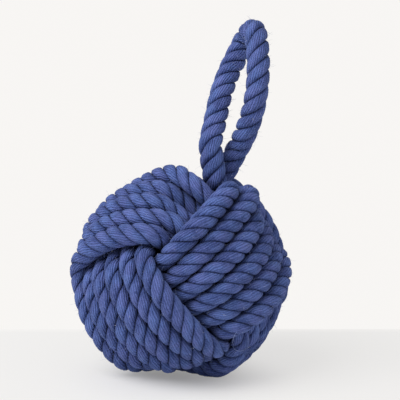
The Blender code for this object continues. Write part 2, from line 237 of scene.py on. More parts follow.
BANDS = (
    Band(Axis.FIRST, Axis.THIRD, Axis.SECOND, (-1, -1, 1)),
    Band(Axis.THIRD, Axis.SECOND, Axis.FIRST, (1, 1, 1)),
    Band(Axis.SECOND, Axis.FIRST, Axis.THIRD, (-1, 1, -1)),
)


def signed_power(value: float, exponent: float) -> float:
    """Raise a value's size to a power and keep its sign."""
    return math.copysign(abs(value) ** exponent, value)


def travelled(points: np.ndarray) -> np.ndarray:
    """Length along a line of points up to each of them."""
    return np.concatenate([[0.0], np.cumsum(np.linalg.norm(np.diff(points, axis=0), axis=1))])


def unit(vectors: np.ndarray) -> np.ndarray:
    """Rows of vectors, each brought to the length 1."""
    return vectors / np.linalg.norm(vectors, axis=1)[:, None]


def even_curve(control: np.ndarray, step: float) -> np.ndarray:
    """Evenly spaced points on a Catmull-Rom curve.

    Args:
        control: rows of x, y, z and any further values that follow the curve
        step: distance between the points
    Returns:
        rows with the same columns as the control rows
    """
    ends = np.vstack([2 * control[0] - control[1], control, 2 * control[-1] - control[-2]])
    samples = 16
    part = (np.arange(samples) / samples)[:, None]
    fine = []
    for index in range(len(control) - 1):
        before, first, second, after = ends[index:index + 4]
        fine.append(0.5 * (2 * first + (second - before) * part
                           + (2 * before - 5 * first + 4 * second - after) * part**2
                           + (3 * first - before - 3 * second + after) * part**3))
    fine.append(control[-1:])
    rows = np.vstack(fine)
    length = travelled(rows[:, :3])
    count = max(2, round(length[-1] / step) + 1)
    wanted = np.linspace(0.0, length[-1], count)
    return np.stack([np.interp(wanted, length, column) for column in rows.T], axis=1)


@dataclass
class TightRope:
    """Ropes drawn tight round the core: a diameter apart, outside the core, on the floor.

    Args:
        points: all points about the knot's centre
        radius: the rope's radius at each
        owner: the number of the rope that each belongs to
        core_radius: radius of the bag
        swell: gives the bag's reach towards each place, as a share of its radius
        core_base: height of the bag's flat base about the centre
        floor: height of the floor about the centre
        seat_gap: play between rope and bag
        near: how near two segments have to be to count as a pair, in rope diameters
        along: how far apart along one rope a pair's segments are at least, in the same
        push: share of an overlap that is cleared at once
        passes: how often everything is cleared in one round
        search_every: number of rounds between two searches for pairs
    """

    points: np.ndarray
    radius: np.ndarray
    owner: np.ndarray
    core_radius: float
    swell: Callable[[np.ndarray], np.ndarray]
    core_base: float
    floor: float
    seat_gap: float
    near: float = 1.4
    along: float = 1.25
    push: float = 0.35
    passes: int = 3
    search_every: int = 8

    def __post_init__(self) -> None:
        """Work out which points have neighbours on both sides."""
        same = self.owner[:-1] == self.owner[1:]
        self.free = np.ones(len(self.points), bool)
        self.segments = np.nonzero(same)[0]
        self.inner = np.nonzero(np.concatenate([[False], same[:-1] & same[1:], [False]]))[0]
        self.segment_radius = np.maximum(self.radius[:-1], self.radius[1:])

    def hold(self, held: list[int]) -> None:
        """Say which points stay where they are."""
        self.free = np.ones(len(self.points), bool)
        self.free[held] = False

    def neighbours(self, widest: float) -> tuple[np.ndarray, np.ndarray]:
        """Find pairs of segments that may touch, other than neighbours along one rope.

        Args:
            widest: the rope's full diameter
        Returns:
            the numbers of the pairs' first and second segments
        """
        begin, end = self.points[self.segments], self.points[self.segments + 1]
        half = 0.5 * np.linalg.norm(end - begin, axis=1)
        centre = 0.5 * (begin + end)
        reach = np.linalg.norm(centre[:, None] - centre[None], axis=2) - half[:, None] - half[None]
        middle = travelled(self.points)[self.segments] + half
        along = np.abs(middle[:, None] - middle[None]) - half[:, None] - half[None]
        owner = self.owner[self.segments]
        other = owner[:, None] != owner[None]
        near = (reach < self.near * widest) & (other | (along > self.along * widest))
        rows, columns = np.nonzero(np.triu(near, 1))
        return self.segments[rows], self.segments[columns]

    def part_ropes(self, one: np.ndarray, two: np.ndarray) -> None:
        """Push pairs of segments apart where they are closer than one diameter.

        Args:
            one: the numbers of the pairs' first segments
            two: those of their second ones
        """
        points = self.points
        along_a = points[one + 1] - points[one]
        along_b = points[two + 1] - points[two]
        between = points[one] - points[two]
        aa = (along_a * along_a).sum(1)
        bb = (along_b * along_b).sum(1)
        ab = (along_a * along_b).sum(1)
        a0 = (along_a * between).sum(1)
        b0 = (along_b * between).sum(1)
        spread = np.maximum(aa * bb - ab * ab, 1e-18)
        share_a = np.clip((ab * b0 - a0 * bb) / spread, 0.0, 1.0)
        share_b = np.clip((ab * share_a + b0) / bb, 0.0, 1.0)
        share_a = np.clip((ab * share_b - a0) / aa, 0.0, 1.0)
        apart = between + share_a[:, None] * along_a - share_b[:, None] * along_b
        distance = np.linalg.norm(apart, axis=1)
        wanted = self.segment_radius[one] + self.segment_radius[two]
        close = distance < wanted
        push = self.push * ((wanted - distance) / distance)[close, None] * apart[close]
        moved = np.zeros_like(points)
        one, two = one[close], two[close]
        share_a, share_b = share_a[close, None], share_b[close, None]
        np.add.at(moved, one, push * (1 - share_a))
        np.add.at(moved, one + 1, push * share_a)
        np.add.at(moved, two, -push * (1 - share_b))
        np.add.at(moved, two + 1, -push * share_b)
        points[self.free] += moved[self.free]

    def clear_core(self) -> None:
        """Keep points and segment middles outside the core, whose underside is flat."""
        middles = 0.5 * (self.points[self.segments] + self.points[self.segments + 1])
        for places, radii, targets in (
                (self.points, self.radius, (np.arange(len(self.points)),)),
                (middles, self.segment_radius[self.segments], (self.segments, self.segments + 1))):
            reach = np.linalg.norm(places, axis=1)
            above = reach - self.core_radius * self.swell(places)
            below = self.core_base - places[:, 2]
            depth = radii + self.seat_gap - np.maximum(above, below)
            inside = depth > 0.0
            outward = places / reach[:, None]
            outward[below > above] = (0.0, 0.0, -1.0)
            for target in targets:
                moved = np.zeros_like(self.points)
                moved[target[inside]] = outward[inside] * depth[inside, None]
                self.points[self.free] += moved[self.free]

    def rest_on_floor(self) -> None:
        """Keep points no lower than a rope that lies on the floor."""
        lowest = self.floor + self.radius
        sunk = self.free & (self.points[:, 2] < lowest)
        self.points[sunk, 2] = lowest[sunk]

    def draw_tight(self, rounds: int, tension: float, widest: float) -> None:
        """Shorten the ropes a little each round while everything stays clear.

        Args:
            rounds: how many times to pull and part
            tension: share of the way to straight that each point goes in the first round
            widest: the rope's full diameter
        """
        middle = self.inner[self.free[self.inner]]
        for number in range(rounds):
            if number % self.search_every == 0:
                pairs = self.neighbours(widest)
            pull = tension * (1.0 - number / rounds)
            points = self.points
            straightened = 0.5 * (points[middle - 1] + points[middle + 1])
            points[middle] += pull * (straightened - points[middle])
            for _ in range(self.passes):
                self.part_ropes(*pairs)
                self.clear_core()
                self.rest_on_floor()


@dataclass
class RopeRoute:
    """The centreline of the whole rope, from its tucked end through the handle to its last tuck.

    Args:
        rope: the rope's sizes
        knot: the knot's sizes
        handle: the handle's sizes
        step: distance between the finished rows
        runs: how the rope is drawn tight, as rounds and tension of each run
        finer_runs: how it is drawn tight again with twice as many points
    """

    rope: RopeSizes
    knot: KnotSizes
    handle: HandleSizes
    step: float = 0.0015
    runs: tuple[tuple[int, float], ...] = ((300, 0.15), (60, 0.03), (60, 0.0))
    finer_runs: tuple[tuple[int, float], ...] = ((70, 0.10),)

    @property
    def core_radius(self) -> float:
        """Radius of the filled bag."""
        return self.knot.core / 2

    @property
    def inner_radius(self) -> float:
        """Radius at which a tucked turn lies."""
        return self.core_radius + self.rope.laid / 2

    @property
    def outer_radius(self) -> float:
        """Radius at which a turn lies over a tucked one."""
        return self.inner_radius + self.rope.laid

    @property
    def knot_radius(self) -> float:
        """Nominal radius of the ball."""
        return self.core_radius + self.rope.laid + self.rope.full

    @property
    def foot_cut(self) -> float:
        """How far the ropes under the ball are squashed by its weight."""
        return self.rope.full / 10

    @property
    def centre_height(self) -> float:
        """Height of the knot's centre above the floor."""
        return self.knot_radius - self.knot.base_flattening - self.foot_cut

    @property
    def core_base(self) -> float:
        """Height of the bag's flat base above the floor."""
        return self.rope.laid + self.rope.full - self.foot_cut + 2 * self.knot.seat_gap

    @property
    def free_radius(self) -> float:
        """Radius of the free rope of the handle."""
        return self.handle.diameter / 2

    def turn_at(self, angle: float) -> float:
        """Number of whole turns done at an angle, stepped on one tucked stretch.

        Args:
            angle: angle along the band, in degrees
        Returns:
            the number, with a fraction while the rope steps
        """
        first, length = self.knot.stepping
        loops, phase = divmod(angle + 270.0, 360.0)
        stepped = min(max((phase - first) / length, 0.0), 1.0)
        return min(max(loops - 1.0 + stepped, 0.0), self.knot.turns - 1.0)

    def band_rows(self, band: Band, start: float, end: float) -> np.ndarray:
        """Rows of x, y, z and rope diameter along one band.

        Args:
            band: the band to follow
            start: first angle in degrees, 0 at the middle of the first outer stretch
            end: last angle in degrees
        Returns:
            one row per point, in the knot's cube
        """
        pitch = 2 * math.asin(self.rope.laid / (2 * self.outer_radius))
        half_band = pitch * (self.knot.turns - 1) / 2
        count = round((end - start) * self.knot.points_per_loop / 360.0)
        rows = np.zeros((count + 1, 4))
        for number in range(count + 1):
            angle = start + (end - start) * number / count
            side = half_band - pitch * self.turn_at(angle)
            offset = self.outer_radius * math.sin(side)
            outer = math.sqrt(self.outer_radius**2 - offset**2)
            inner = math.sqrt(self.inner_radius**2 - offset**2)
            least, more = self.knot.squareness
            power = 2 / (least + more * (math.sin(side) / math.sin(half_band)) ** 2)
            along = math.radians(angle)
            row = rows[number]
            row[band.outward.value] = band.signs[0] * outer * signed_power(math.cos(along), power)
            row[band.tucked.value] = band.signs[1] * inner * signed_power(math.sin(along), power)
            row[band.across.value] = band.signs[2] * offset
            row[3] = self.rope.laid + (self.rope.full - self.rope.laid) * abs(math.cos(along)) ** 3
        return rows

    def corner_rows(self, before: np.ndarray, after: np.ndarray, corner: Place) -> np.ndarray:
        """Lead the rope round a corner of the cube from one band to the next.

        Args:
            before: rows of the band that ends there
            after: rows of the band that starts there
            corner: the corner of a cube of half width 1
        Returns:
            three rows
        """
        peak = np.array(corner) / math.sqrt(3.0) * (self.outer_radius + self.knot.corner_rise)
        start, end = before[-1, :3], after[0, :3]
        middle = 2 * peak - 0.5 * (start + end)
        rows = np.full((3, 4), self.rope.laid)
        for row, part in zip(rows, (0.25, 0.50, 0.75)):
            row[:3] = (1 - part) ** 2 * start + 2 * part * (1 - part) * middle + part**2 * end
        return rows

    def handle_line(self) -> np.ndarray:
        """Lay the handle's centreline.

        Returns:
            its points about the knot's centre, from the left foot to the right foot
        """
        direction = np.array(self.handle.foot_direction)
        direction /= np.linalg.norm(direction)
        foot = direction * (self.knot_radius + self.handle.foot_rise)
        control = foot + self.handle.height * np.array(self.handle.route)
        return even_curve(control, self.handle.point_step * self.rope.full)

    def root_rows(self, foot: np.ndarray, above: np.ndarray) -> np.ndarray:
        """Lay the handle's root under one of its feet.

        Args:
            foot: the point at that foot
            above: the point next to it
        Returns:
            two rows
        """
        down = (foot - above) / np.linalg.norm(foot - above)
        top = foot + down * (self.free_radius + self.knot.seat_gap)
        return np.column_stack([[top, top + down * self.rope.full], [self.rope.full] * 2])

    def first_rows(self) -> tuple[list[np.ndarray], list[int]]:
        """Rows of knot, tucked end and handle before they are drawn tight.

        Returns:
            the three ropes' rows, and the numbers of the corner points that end the knot's first
            two bands
        """
        turn = np.array(Euler([math.radians(angle) for angle in self.knot.tilt]).to_matrix())
        line = self.handle_line()
        last = 360.0 * (self.knot.turns - 1) + 180.0
        leaving = self.knot.leaving_angle
        first = self.band_rows(BANDS[0], -leaving, last + leaving)
        second = self.band_rows(BANDS[1], -leaving, last + leaving)
        third = self.band_rows(BANDS[2], -leaving, last + self.knot.tucked_angle)
        one = self.corner_rows(first, second, (1, -1, 1))
        two = self.corner_rows(second, third, (-1, -1, -1))
        knot = np.vstack([first, one, second, two, third])
        knot[:, :3] = knot[:, :3] @ turn.T
        knot[:, :3] *= self.knot.swell(knot[:, :3])[:, None]
        root = self.root_rows(line[-1], line[-2])
        knot = np.vstack([root, knot])
        corner = len(root) + len(first) + 1
        corners = [corner, corner + len(one) + len(second)]
        across, outward = self.knot.tail_slot
        slot = turn @ np.array([0.0, self.inner_radius * across, self.inner_radius * outward])
        run = turn @ np.array([1.0, 0.0, 0.0])
        tail = np.array([slot + run * self.inner_radius * step for step in self.knot.tail_steps])
        tail = np.column_stack([tail, [self.rope.laid] * len(tail)])
        tucked = np.vstack([self.root_rows(line[0], line[1]), tail])
        handle = np.column_stack([line, [self.handle.diameter + self.rope.gap] * len(line)])
        return [knot, tucked, handle], corners

    def tighten(self, ropes: list[np.ndarray], held: list[list[int]],
                runs: tuple[tuple[int, float], ...]) -> list[np.ndarray]:
        """Draw ropes tight and give back their rows.

        Args:
            ropes: rows of each rope
            held: for each run, the numbers of the points that stay put
            runs: rounds and tension of each run
        Returns:
            the rows of each rope, drawn tight
        """
        rows = np.vstack(ropes)
        owner = np.concatenate([np.full(len(rope), number) for number, rope in enumerate(ropes)])
        tight = TightRope(
            points=rows[:, :3].copy(), radius=rows[:, 3] / 2, owner=owner,
            core_radius=self.core_radius, swell=self.knot.swell,
            core_base=self.core_base - self.centre_height,
            floor=-self.foot_cut - self.centre_height, seat_gap=self.knot.seat_gap)
        for points, (count, tension) in zip(held, runs):
            tight.hold(points)
            tight.draw_tight(count, tension, self.rope.full)
        rows[:, :3] = tight.points
        return [rows[owner == number] for number in range(len(ropes))]

    def solve(self) -> tuple[np.ndarray, list[float]]:
        """The whole rope about the knot's centre, with the places where its stretches meet.

        Returns:
            rows of x, y, z and radius at even steps, and the length at the handle's right foot and
            at the ends of the first two bands
        """
        ropes, corners = self.first_rows()
        starts = np.cumsum([0] + [len(rope) for rope in ropes])
        still = [0, 1, starts[1], starts[1] + 1] + list(range(starts[2], starts[3]))
        knot, tucked, handle = self.tighten(ropes, [still + corners, still, still], self.runs)
        before = len(tucked) + len(handle)
        marks = [before - 1] + [before + corner for corner in corners]
        finer = self.refined(np.vstack([tucked[::-1], handle, knot]), len(tucked) - 2, before + 2)
        finer[:, 3] = 0.5 * finer[:, 3]
        rows = even_curve(finer, self.step)
        total = travelled(rows[:, :3])[-1]
        coarse = travelled(finer[:, :3])
        return rows, [coarse[2 * mark] / coarse[-1] * total for mark in marks]

    def refined(self, whole: np.ndarray, first: int, last: int) -> np.ndarray:
        """Twice as many points on the knot's curve, drawn tight again.

        Args:
            whole: rows of the whole rope
            first: number of the first row that stays put
            last: number of the row after the last one that does
        Returns:
            the finer rows, where each old one has twice its number
        """
        ends = np.vstack([2 * whole[0] - whole[1], whole, 2 * whole[-1] - whole[-2]])
        finer = np.empty((2 * len(whole) - 1, 4))
        finer[::2] = whole
        finer[1::2] = (9 * (ends[1:-2] + ends[2:-1]) - ends[:-3] - ends[3:]) / 16
        return self.tighten([finer], [list(range(2 * first, 2 * last))], self.finer_runs)[0]


def ways_to_others(rows: np.ndarray, step: float,
                   own: float) -> Iterator[tuple[slice, np.ndarray, np.ndarray]]:
    """Go along the rope some rows at a time, with the way from each to all others.

    Args:
        rows: rows of x, y, z and radius at even steps
        step: length of one step
        own: length along the rope that isn't its own neighbour
    Returns:
        the rows' slice, the vectors to all rows, and which of these belong to the same stretch
    """
    number = np.arange(len(rows))
    for start in range(0, len(rows), ROWS_AT_ONCE):
        part = slice(start, min(start + ROWS_AT_ONCE, len(rows)))
        away = rows[None, :, :3] - rows[part, None, :3]
        yield part, away, np.abs(number[part, None] - number[None]) * step < own


@dataclass(frozen=True)
class Fullness:
    """How the soft rope swells into the room between its turns.

    Args:
        press: how far two turns press into one another
        most: the most by which the radius grows
        reach: widest gap that still counts as a neighbour's
        own: length along the rope that isn't its own neighbour
        smooth: length over which the radius may change
    """

    press: float = 0.0001
    most: float = 0.0009
    reach: float = 0.0040
    own: float = 0.030
    smooth: float = 0.012

    def swell(self, rows: np.ndarray, step: float) -> np.ndarray:
        """Give the rows fuller radii where a neighbour is near.

        Args:
            rows: rows of x, y, z and radius at even steps
            step: length of one step
        Returns:
            the same rows with new radii
        """
        count = len(rows)
        gap = np.empty(count)
        for part, away, own in ways_to_others(rows, step, self.own):
            clear = np.where(own, 1.0, np.linalg.norm(away, axis=2) - rows[None, :, 3])
            gap[part] = clear.min(axis=1) - rows[part, 3]
        growth = np.clip(0.5 * gap + self.press, 0.0, self.most)
        growth[gap > self.reach] = 0.0
        width = int(self.smooth / step)
        kernel = np.hanning(width + 2)[1:-1]
        growth = np.convolve(np.pad(growth, width // 2, mode="edge"), kernel / kernel.sum(), mode="same")
        fuller = rows.copy()
        fuller[:, 3] += growth[width // 2:width // 2 + count]
        return fuller


@dataclass(frozen=True)
class Crowding:
    """Where other turns of the rope lie close round it, which sets where the rope's material paints shade.

    Args:
        reach: gap over which a neighbour's share falls away
        own: length along the rope that isn't its own neighbour
        alongside: how much of a turn that runs alongside counts, in roots of diameter times reach
    """

    reach: float = 0.003
    own: float = 0.030
    alongside: float = 1.81

    def moments(self, rows: np.ndarray, step: float) -> tuple[np.ndarray, np.ndarray]:
        """Sum up the directions to the neighbours.

        Args:
            rows: rows of x, y, z and radius at even steps
            step: length of one step
        Returns:
            the first and the second moment of the directions at each row, where a turn that runs
            alongside counts as one
        """
        pull = np.empty((len(rows), 3))
        spread = np.empty((len(rows), 3, 3))
        whole = self.alongside * math.sqrt(4 * float(rows[:, 3].mean()) * self.reach) / step
        for part, away, own in ways_to_others(rows, step, self.own):
            far = np.maximum(np.linalg.norm(away, axis=2), step)
            gap = np.maximum(far - rows[None, :, 3] - rows[part, None, 3], 0.0)
            share = np.where(own, 0.0, np.exp(-(gap / self.reach) ** 2)) / whole
            direction = away / far[..., None]
            pull[part] = np.einsum("ij,ijk->ik", share, direction)
            spread[part] = np.einsum("ijk,ijl->ikl", share[..., None] * direction, direction, optimize=True)
        return pull, spread


@dataclass
class Lay:
    """A rope's own frame at every point: where its strands lie round the centreline.

    Args:
        rows: rows of x, y, z and radius at even steps
        lay: length of one whole turn of the strands
        strands: how many strands are laid together
        neighbours: the moments of the directions to other turns, if there are any
        wander: how far the strands' turning goes astray, in radians, and over which length
        waver: share by which a crown's height varies, and over which length
    """

    rows: np.ndarray
    lay: float
    strands: int
    neighbours: tuple[np.ndarray, np.ndarray] | None = None
    wander: tuple[float, float] = (0.16, 0.115)
    waver: tuple[float, float] = (0.020, 0.037)

    def __post_init__(self) -> None:
        """Carry a frame along the centreline without twisting it."""
        points = self.rows[:, :3]
        self.tangent = unit(np.gradient(points, axis=0))
        self.length = travelled(points)
        first = np.cross(self.tangent[0], (0.0, 0.0, 1.0))
        if np.linalg.norm(first) < 0.1:
            first = np.cross(self.tangent[0], (1.0, 0.0, 0.0))
        self.normal = np.zeros_like(points)
        self.normal[0] = first / np.linalg.norm(first)
        for index in range(1, len(points)):
            before, tangent = self.normal[index - 1], self.tangent[index]
            carried = before - tangent * (before @ tangent)
            self.normal[index] = carried / np.linalg.norm(carried)
        self.side = np.cross(self.tangent, self.normal)

    @staticmethod
    def unevenness(length: np.ndarray, wave: float, shift: float | np.ndarray) -> np.ndarray:
        """A slow irregular value along the rope.

        Args:
            length: length along the rope at each place
            wave: length of the longest wave
            shift: where the waves start, in radians
        Returns:
            a value between about -1 and 1 for each place
        """
        turns = 2 * math.pi * length / wave
        waves = ((0.5, 1.0, 1.0), (0.3, 1.73, 2.4), (0.2, 3.1, 1.0))
        return sum(share * np.sin(pace * turns + turned * shift) for share, pace, turned in waves)

    def phase(self, number: int | np.ndarray, part: slice | np.ndarray) -> np.ndarray:
        """The angle round the rope at which a strand's crown lies.

        Args:
            number: which strand
            part: which rows of the rope
        Returns:
            one angle for each row
        """
        length = self.length[part]
        even = 2 * math.pi * (length / self.lay + number / self.strands)
        return even + self.wander[0] * self.unevenness(length, self.wander[1], 0.5)

    def radius(self, number: int | np.ndarray, part: slice | np.ndarray) -> np.ndarray:
        """How far a strand's crown stands from the centreline, a little uneven."""
        share = self.waver[0] * self.unevenness(self.length[part], self.waver[1], 2.1 * number)
        return self.rows[part, 3] * (1.0 + share)

    def outward(self, angle: np.ndarray, part: slice | np.ndarray) -> np.ndarray:
        """Directions away from the centreline.

        Args:
            angle: angles round the rope, one or more for each row
            part: which rows of the rope
        Returns:
            one direction for each angle
        """
        spread = (slice(None),) + (None,) * (angle.ndim - 1)
        return (np.cos(angle)[..., None] * self.normal[part][spread]
                + np.sin(angle)[..., None] * self.side[part][spread])

    def crowding(self, outward: np.ndarray, part: slice) -> np.ndarray:
        """How nearly another turn lies in each outward direction.

        Args:
            outward: the directions at each row
            part: which rows of the rope
        Returns:
            values from 0 to 1
        """
        if self.neighbours is None:
            return np.zeros(outward.shape[:-1])
        pull, spread = (moment[part] for moment in self.neighbours)
        straight = np.einsum("isk,ik->is", outward, pull)
        squared = np.einsum("isk,ikl,isl->is", outward, spread, outward, optimize=True)
        return np.clip(0.5 * (straight + squared), 0.0, 1.0)


def ring_faces(rings: int, sides: int, first: int = 0, downward: bool = False) -> list[Face]:
    """Faces between rings of points that follow one another.

    Args:
        rings: number of rings
        sides: number of points on each
        first: number of the first point
        downward: whether the rings turn clockwise about the way that they follow
    Returns:
        one face with four corners for each gap, pointing out
    """
    rows = np.arange(rings - 1)[:, None] * sides + first
    here = np.arange(sides)[None]
    there = (here + 1) % sides
    corners = [rows + here, rows + there, rows + sides + there, rows + sides + here]
    if downward:
        corners = [corners[0], corners[3], corners[2], corners[1]]
    return [tuple(face) for face in np.stack(corners, axis=2).reshape(-1, 4).tolist()]


def cap_face(sides: int, first: int, backwards: bool = False) -> Face:
    """The face that closes a ring of points, either way round."""
    numbers = range(first, first + sides)
    return tuple(reversed(numbers) if backwards else numbers)


def tube_faces(rings: int, sides: int, first: int) -> list[Face]:
    """Faces of a tube that is closed at both ends."""
    ends = [cap_face(sides, first, backwards=True), cap_face(sides, first + (rings - 1) * sides)]
    return ring_faces(rings, sides, first) + ends


def new_piece(name: str, verts: np.ndarray, faces: list[Face],
              material: bpy.types.Material) -> bpy.types.Object:
    """Make a smooth mesh object.

    Args:
        name: the piece's name
        verts: its points
        faces: its faces, as numbers of points
        material: its material
    Returns:
        the piece, in the scene
    """
    mesh = bpy.data.meshes.new(name)
    mesh.from_pydata(verts.tolist(), [], faces)
    mesh.update()
    mesh.shade_smooth()
    mesh.materials.append(material)
    piece = bpy.data.objects.new(name, mesh)
    bpy.context.scene.collection.objects.link(piece)
    LOG.info("%s: %d faces", name, len(faces))
    return piece


@dataclass
class StrandMesh:
    """Closed tubes for the strands of one stretch of rope, in one mesh.

    A strand's section is a soft wedge: an oval crown, flat where it presses on its two neighbours.

    Args:
        name: the piece's name
        sides: faces round a strand
        wide: half of the crown's width as a share of the rope's radius
        hub: how near the wedge comes to the centreline
        filled: share of its sector that a strand may fill
        apart: how far apart the strands' yarns start on the UV map
        sharp: angle in degrees above which an edge stays sharp
    """

    name: str
    sides: int = 22
    wide: float = 0.67
    hub: float = 0.03
    filled: float = 0.985
    apart: float = 0.37
    sharp: float = 60.0

    def section(self, strands: int) -> tuple[np.ndarray, np.ndarray]:
        """The outline of a strand's section.

        Args:
            strands: how many strands are laid together
        Returns:
            angle and reach of its points about the rope's centreline, in the rope's radius
        """
        turn = 2 * math.pi * np.arange(self.sides) / self.sides
        across = self.wide * np.sin(turn)
        outward = self.hub + (1.0 - self.hub) * (0.5 + 0.5 * np.cos(turn))
        limit = self.filled * math.pi / strands
        return np.clip(np.arctan2(across, outward), -limit, limit), np.hypot(across, outward)

    def build(self, lay: Lay, material: bpy.types.Material, start: int = 0,
              end: int | None = None) -> bpy.types.Object:
        """Build the strands between two rows of the rope.

        Args:
            lay: the rope's frame
            material: the rope's material
            start: first row
            end: the row after the last one, or None for all
        Returns:
            the piece, with a lay UV map in metres along and round the rope, a depth attribute that
            is 0 on the crowns and 1 where two strands meet, and a crowding attribute that is 1 where
            another turn lies against the rope
        """
        angle, reach = self.section(lay.strands)
        part = slice(start, end)
        count = len(lay.rows[part])
        mean_radius = float(lay.rows[part, 3].mean())
        verts: list[np.ndarray] = []
        faces: list[Face] = []
        maps: list[np.ndarray] = []
        for number in range(lay.strands):
            round_rope = lay.phase(number, part)[:, None] + angle[None]
            away = lay.radius(number, part)[:, None] * reach[None]
            outward = lay.outward(round_rope, part)
            verts.append((lay.rows[part, None, :3] + outward * away[..., None]).reshape(-1, 3))
            along = np.broadcast_to(lay.length[part][:, None], round_rope.shape)
            depth = np.broadcast_to(np.abs(angle) / np.abs(angle).max(), round_rope.shape)
            around = round_rope * mean_radius + self.apart * number
            columns = [along, around, depth, lay.crowding(outward, part)]
            maps.append(np.stack(columns, axis=2).reshape(-1, 4))
            faces += tube_faces(count, self.sides, number * count * self.sides)
        points = np.vstack(verts)
        points[:, 2] = np.maximum(points[:, 2], 0.0)
        piece = new_piece(self.name, points, faces, material)
        self.write_maps(piece.data, np.vstack(maps))
        piece.data.set_sharp_from_angle(angle=math.radians(self.sharp))
        return piece

    @staticmethod
    def write_maps(mesh: bpy.types.Mesh, maps: np.ndarray) -> None:
        """Store the lay UV map and the two attributes.

        Args:
            mesh: the strands' mesh
            maps: rows of the map's two values, depth and crowding
        """
        for column, name in ((2, "depth"), (3, "crowding")):
            attribute = mesh.attributes.new(name, "FLOAT", "POINT")
            attribute.data.foreach_set("value", maps[:, column].astype(np.float32))
        layer = mesh.uv_layers.new(name="lay")
        corners = np.zeros(len(mesh.loops), np.int32)
        mesh.loops.foreach_get("vertex_index", corners)
        layer.data.foreach_set("uv", maps[corners, :2].astype(np.float32).ravel())


def math_methods(operation: str) -> tuple[Callable[[Signal, Signal | float], Signal], ...]:
    """Make the methods of one operator, which add a Math node.

    Args:
        operation: the node's operation
    Returns:
        the method for a signal on the operator's left, and the reflected one
    """

    def plain(signal: Signal, other: Signal | float) -> Signal:
        """The signal on the operator's left."""
        return signal.call(operation, other)

    def reflected(signal: Signal, other: float) -> Signal:
        """The signal on the operator's right."""
        return signal.paint.node("ShaderNodeMath", {"operation": operation}, {0: other, 1: signal})

    return plain, reflected


class Signal:
    """A shader socket that adds a Math node when it is used in an expression."""

    def __init__(self, paint: Paint, socket: bpy.types.NodeSocket) -> None:
        """Keep the socket and the node tree that it belongs to."""
        self.paint = paint
        self.socket = socket

    __add__, __radd__ = math_methods("ADD")
    __sub__, __rsub__ = math_methods("SUBTRACT")
    __mul__, __rmul__ = math_methods("MULTIPLY")
    __truediv__, __rtruediv__ = math_methods("DIVIDE")

    def call(self, operation: str, other: Signal | float = 0.0) -> Signal:
        """Any other Math operation on this value."""
        return self.paint.node("ShaderNodeMath", {"operation": operation}, {0: self, 1: other})

    def output(self, which: int | str) -> Signal:
        """Another output of the same node."""
        return Signal(self.paint, self.socket.node.outputs[which])


class Paint:
    """A node tree of a material or of the world, with one method for every node."""

    def __init__(self, owner: bpy.types.Material | bpy.types.World, shader: str = "Principled BSDF") -> None:
        """Start with the shader that its owner has by itself."""
        owner.use_nodes = True
        self.owner = owner
        self.tree = owner.node_tree
        self.shader = self.tree.nodes[shader]

    @classmethod
    def material(cls, name: str) -> Paint:
        """Start a new material."""
        return cls(bpy.data.materials.new(name))

    def node(self, kind: str, settings: dict[str, object] | None = None,
             inputs: dict[int | str, object] | None = None, output: int | str = 0) -> Signal:
        """Add a node, set it up and link it.

        Args:
            kind: the node's type
            settings: its properties, set first
            inputs: values or signals for its sockets, by name or number
            output: the socket to give back
        Returns:
            the chosen output as a signal
        """
        node = self.tree.nodes.new(kind)
        for name, value in (settings or {}).items():
            setattr(node, name, value)
        for name, value in (inputs or {}).items():
            self.feed(node.inputs[name], value)
        return Signal(self, node.outputs[output])

    def feed(self, socket: bpy.types.NodeSocket, value: object) -> None:
        """Link a signal to a socket, or set the socket's value.

        Args:
            socket: the socket
            value: the signal or the value
        """
        if isinstance(value, Signal):
            self.tree.links.new(value.socket, socket)
        else:
            socket.default_value = value

    def place(self) -> Signal:
        """The place on the object."""
        return self.node("ShaderNodeTexCoord", output="Object")

    def attribute(self, name: str) -> Signal:
        """A value that the mesh keeps at its points."""
        return self.node("ShaderNodeAttribute", {"attribute_name": name}, output="Fac")

    def mix(self, factor: Signal | float, first: Signal | Colour, second: Signal | Colour) -> Signal:
        """Mix two colours."""
        return self.node("ShaderNodeMix", {"data_type": "RGBA"}, {0: factor, 6: first, 7: second}, output=2)

    def noise(self, vector: Signal, scale: float, detail: float = 2.0, roughness: float = 0.5) -> Signal:
        """A noise value on a vector."""
        return self.node("ShaderNodeTexNoise", {"noise_dimensions": "3D"},
                         {"Vector": vector, "Scale": scale, "Detail": detail, "Roughness": roughness})

    def stretch(self, low: float, high: float, value: Signal) -> Signal:
        """Stretch a value so that low becomes 0 and high becomes 1, with soft ends."""
        return self.node("ShaderNodeMapRange", {"interpolation_type": "SMOOTHSTEP"},
                         {"Value": value, "From Min": low, "From Max": high})

    def bump(self, height: Signal, distance: float, strength: float = 1.0) -> Signal:
        """A bump normal from a height."""
        return self.node("ShaderNodeBump", {}, {"Height": height, "Distance": distance, "Strength": strength})

    def finish(self, **sockets: object) -> bpy.types.Material:
        """Feed the shader's sockets.

        Args:
            sockets: values or signals by the sockets' names, with underscores for spaces
        Returns:
            the material or the world
        """
        for name, value in sockets.items():
            self.feed(self.shader.inputs[name.replace("_", " ")], value)
        return self.owner


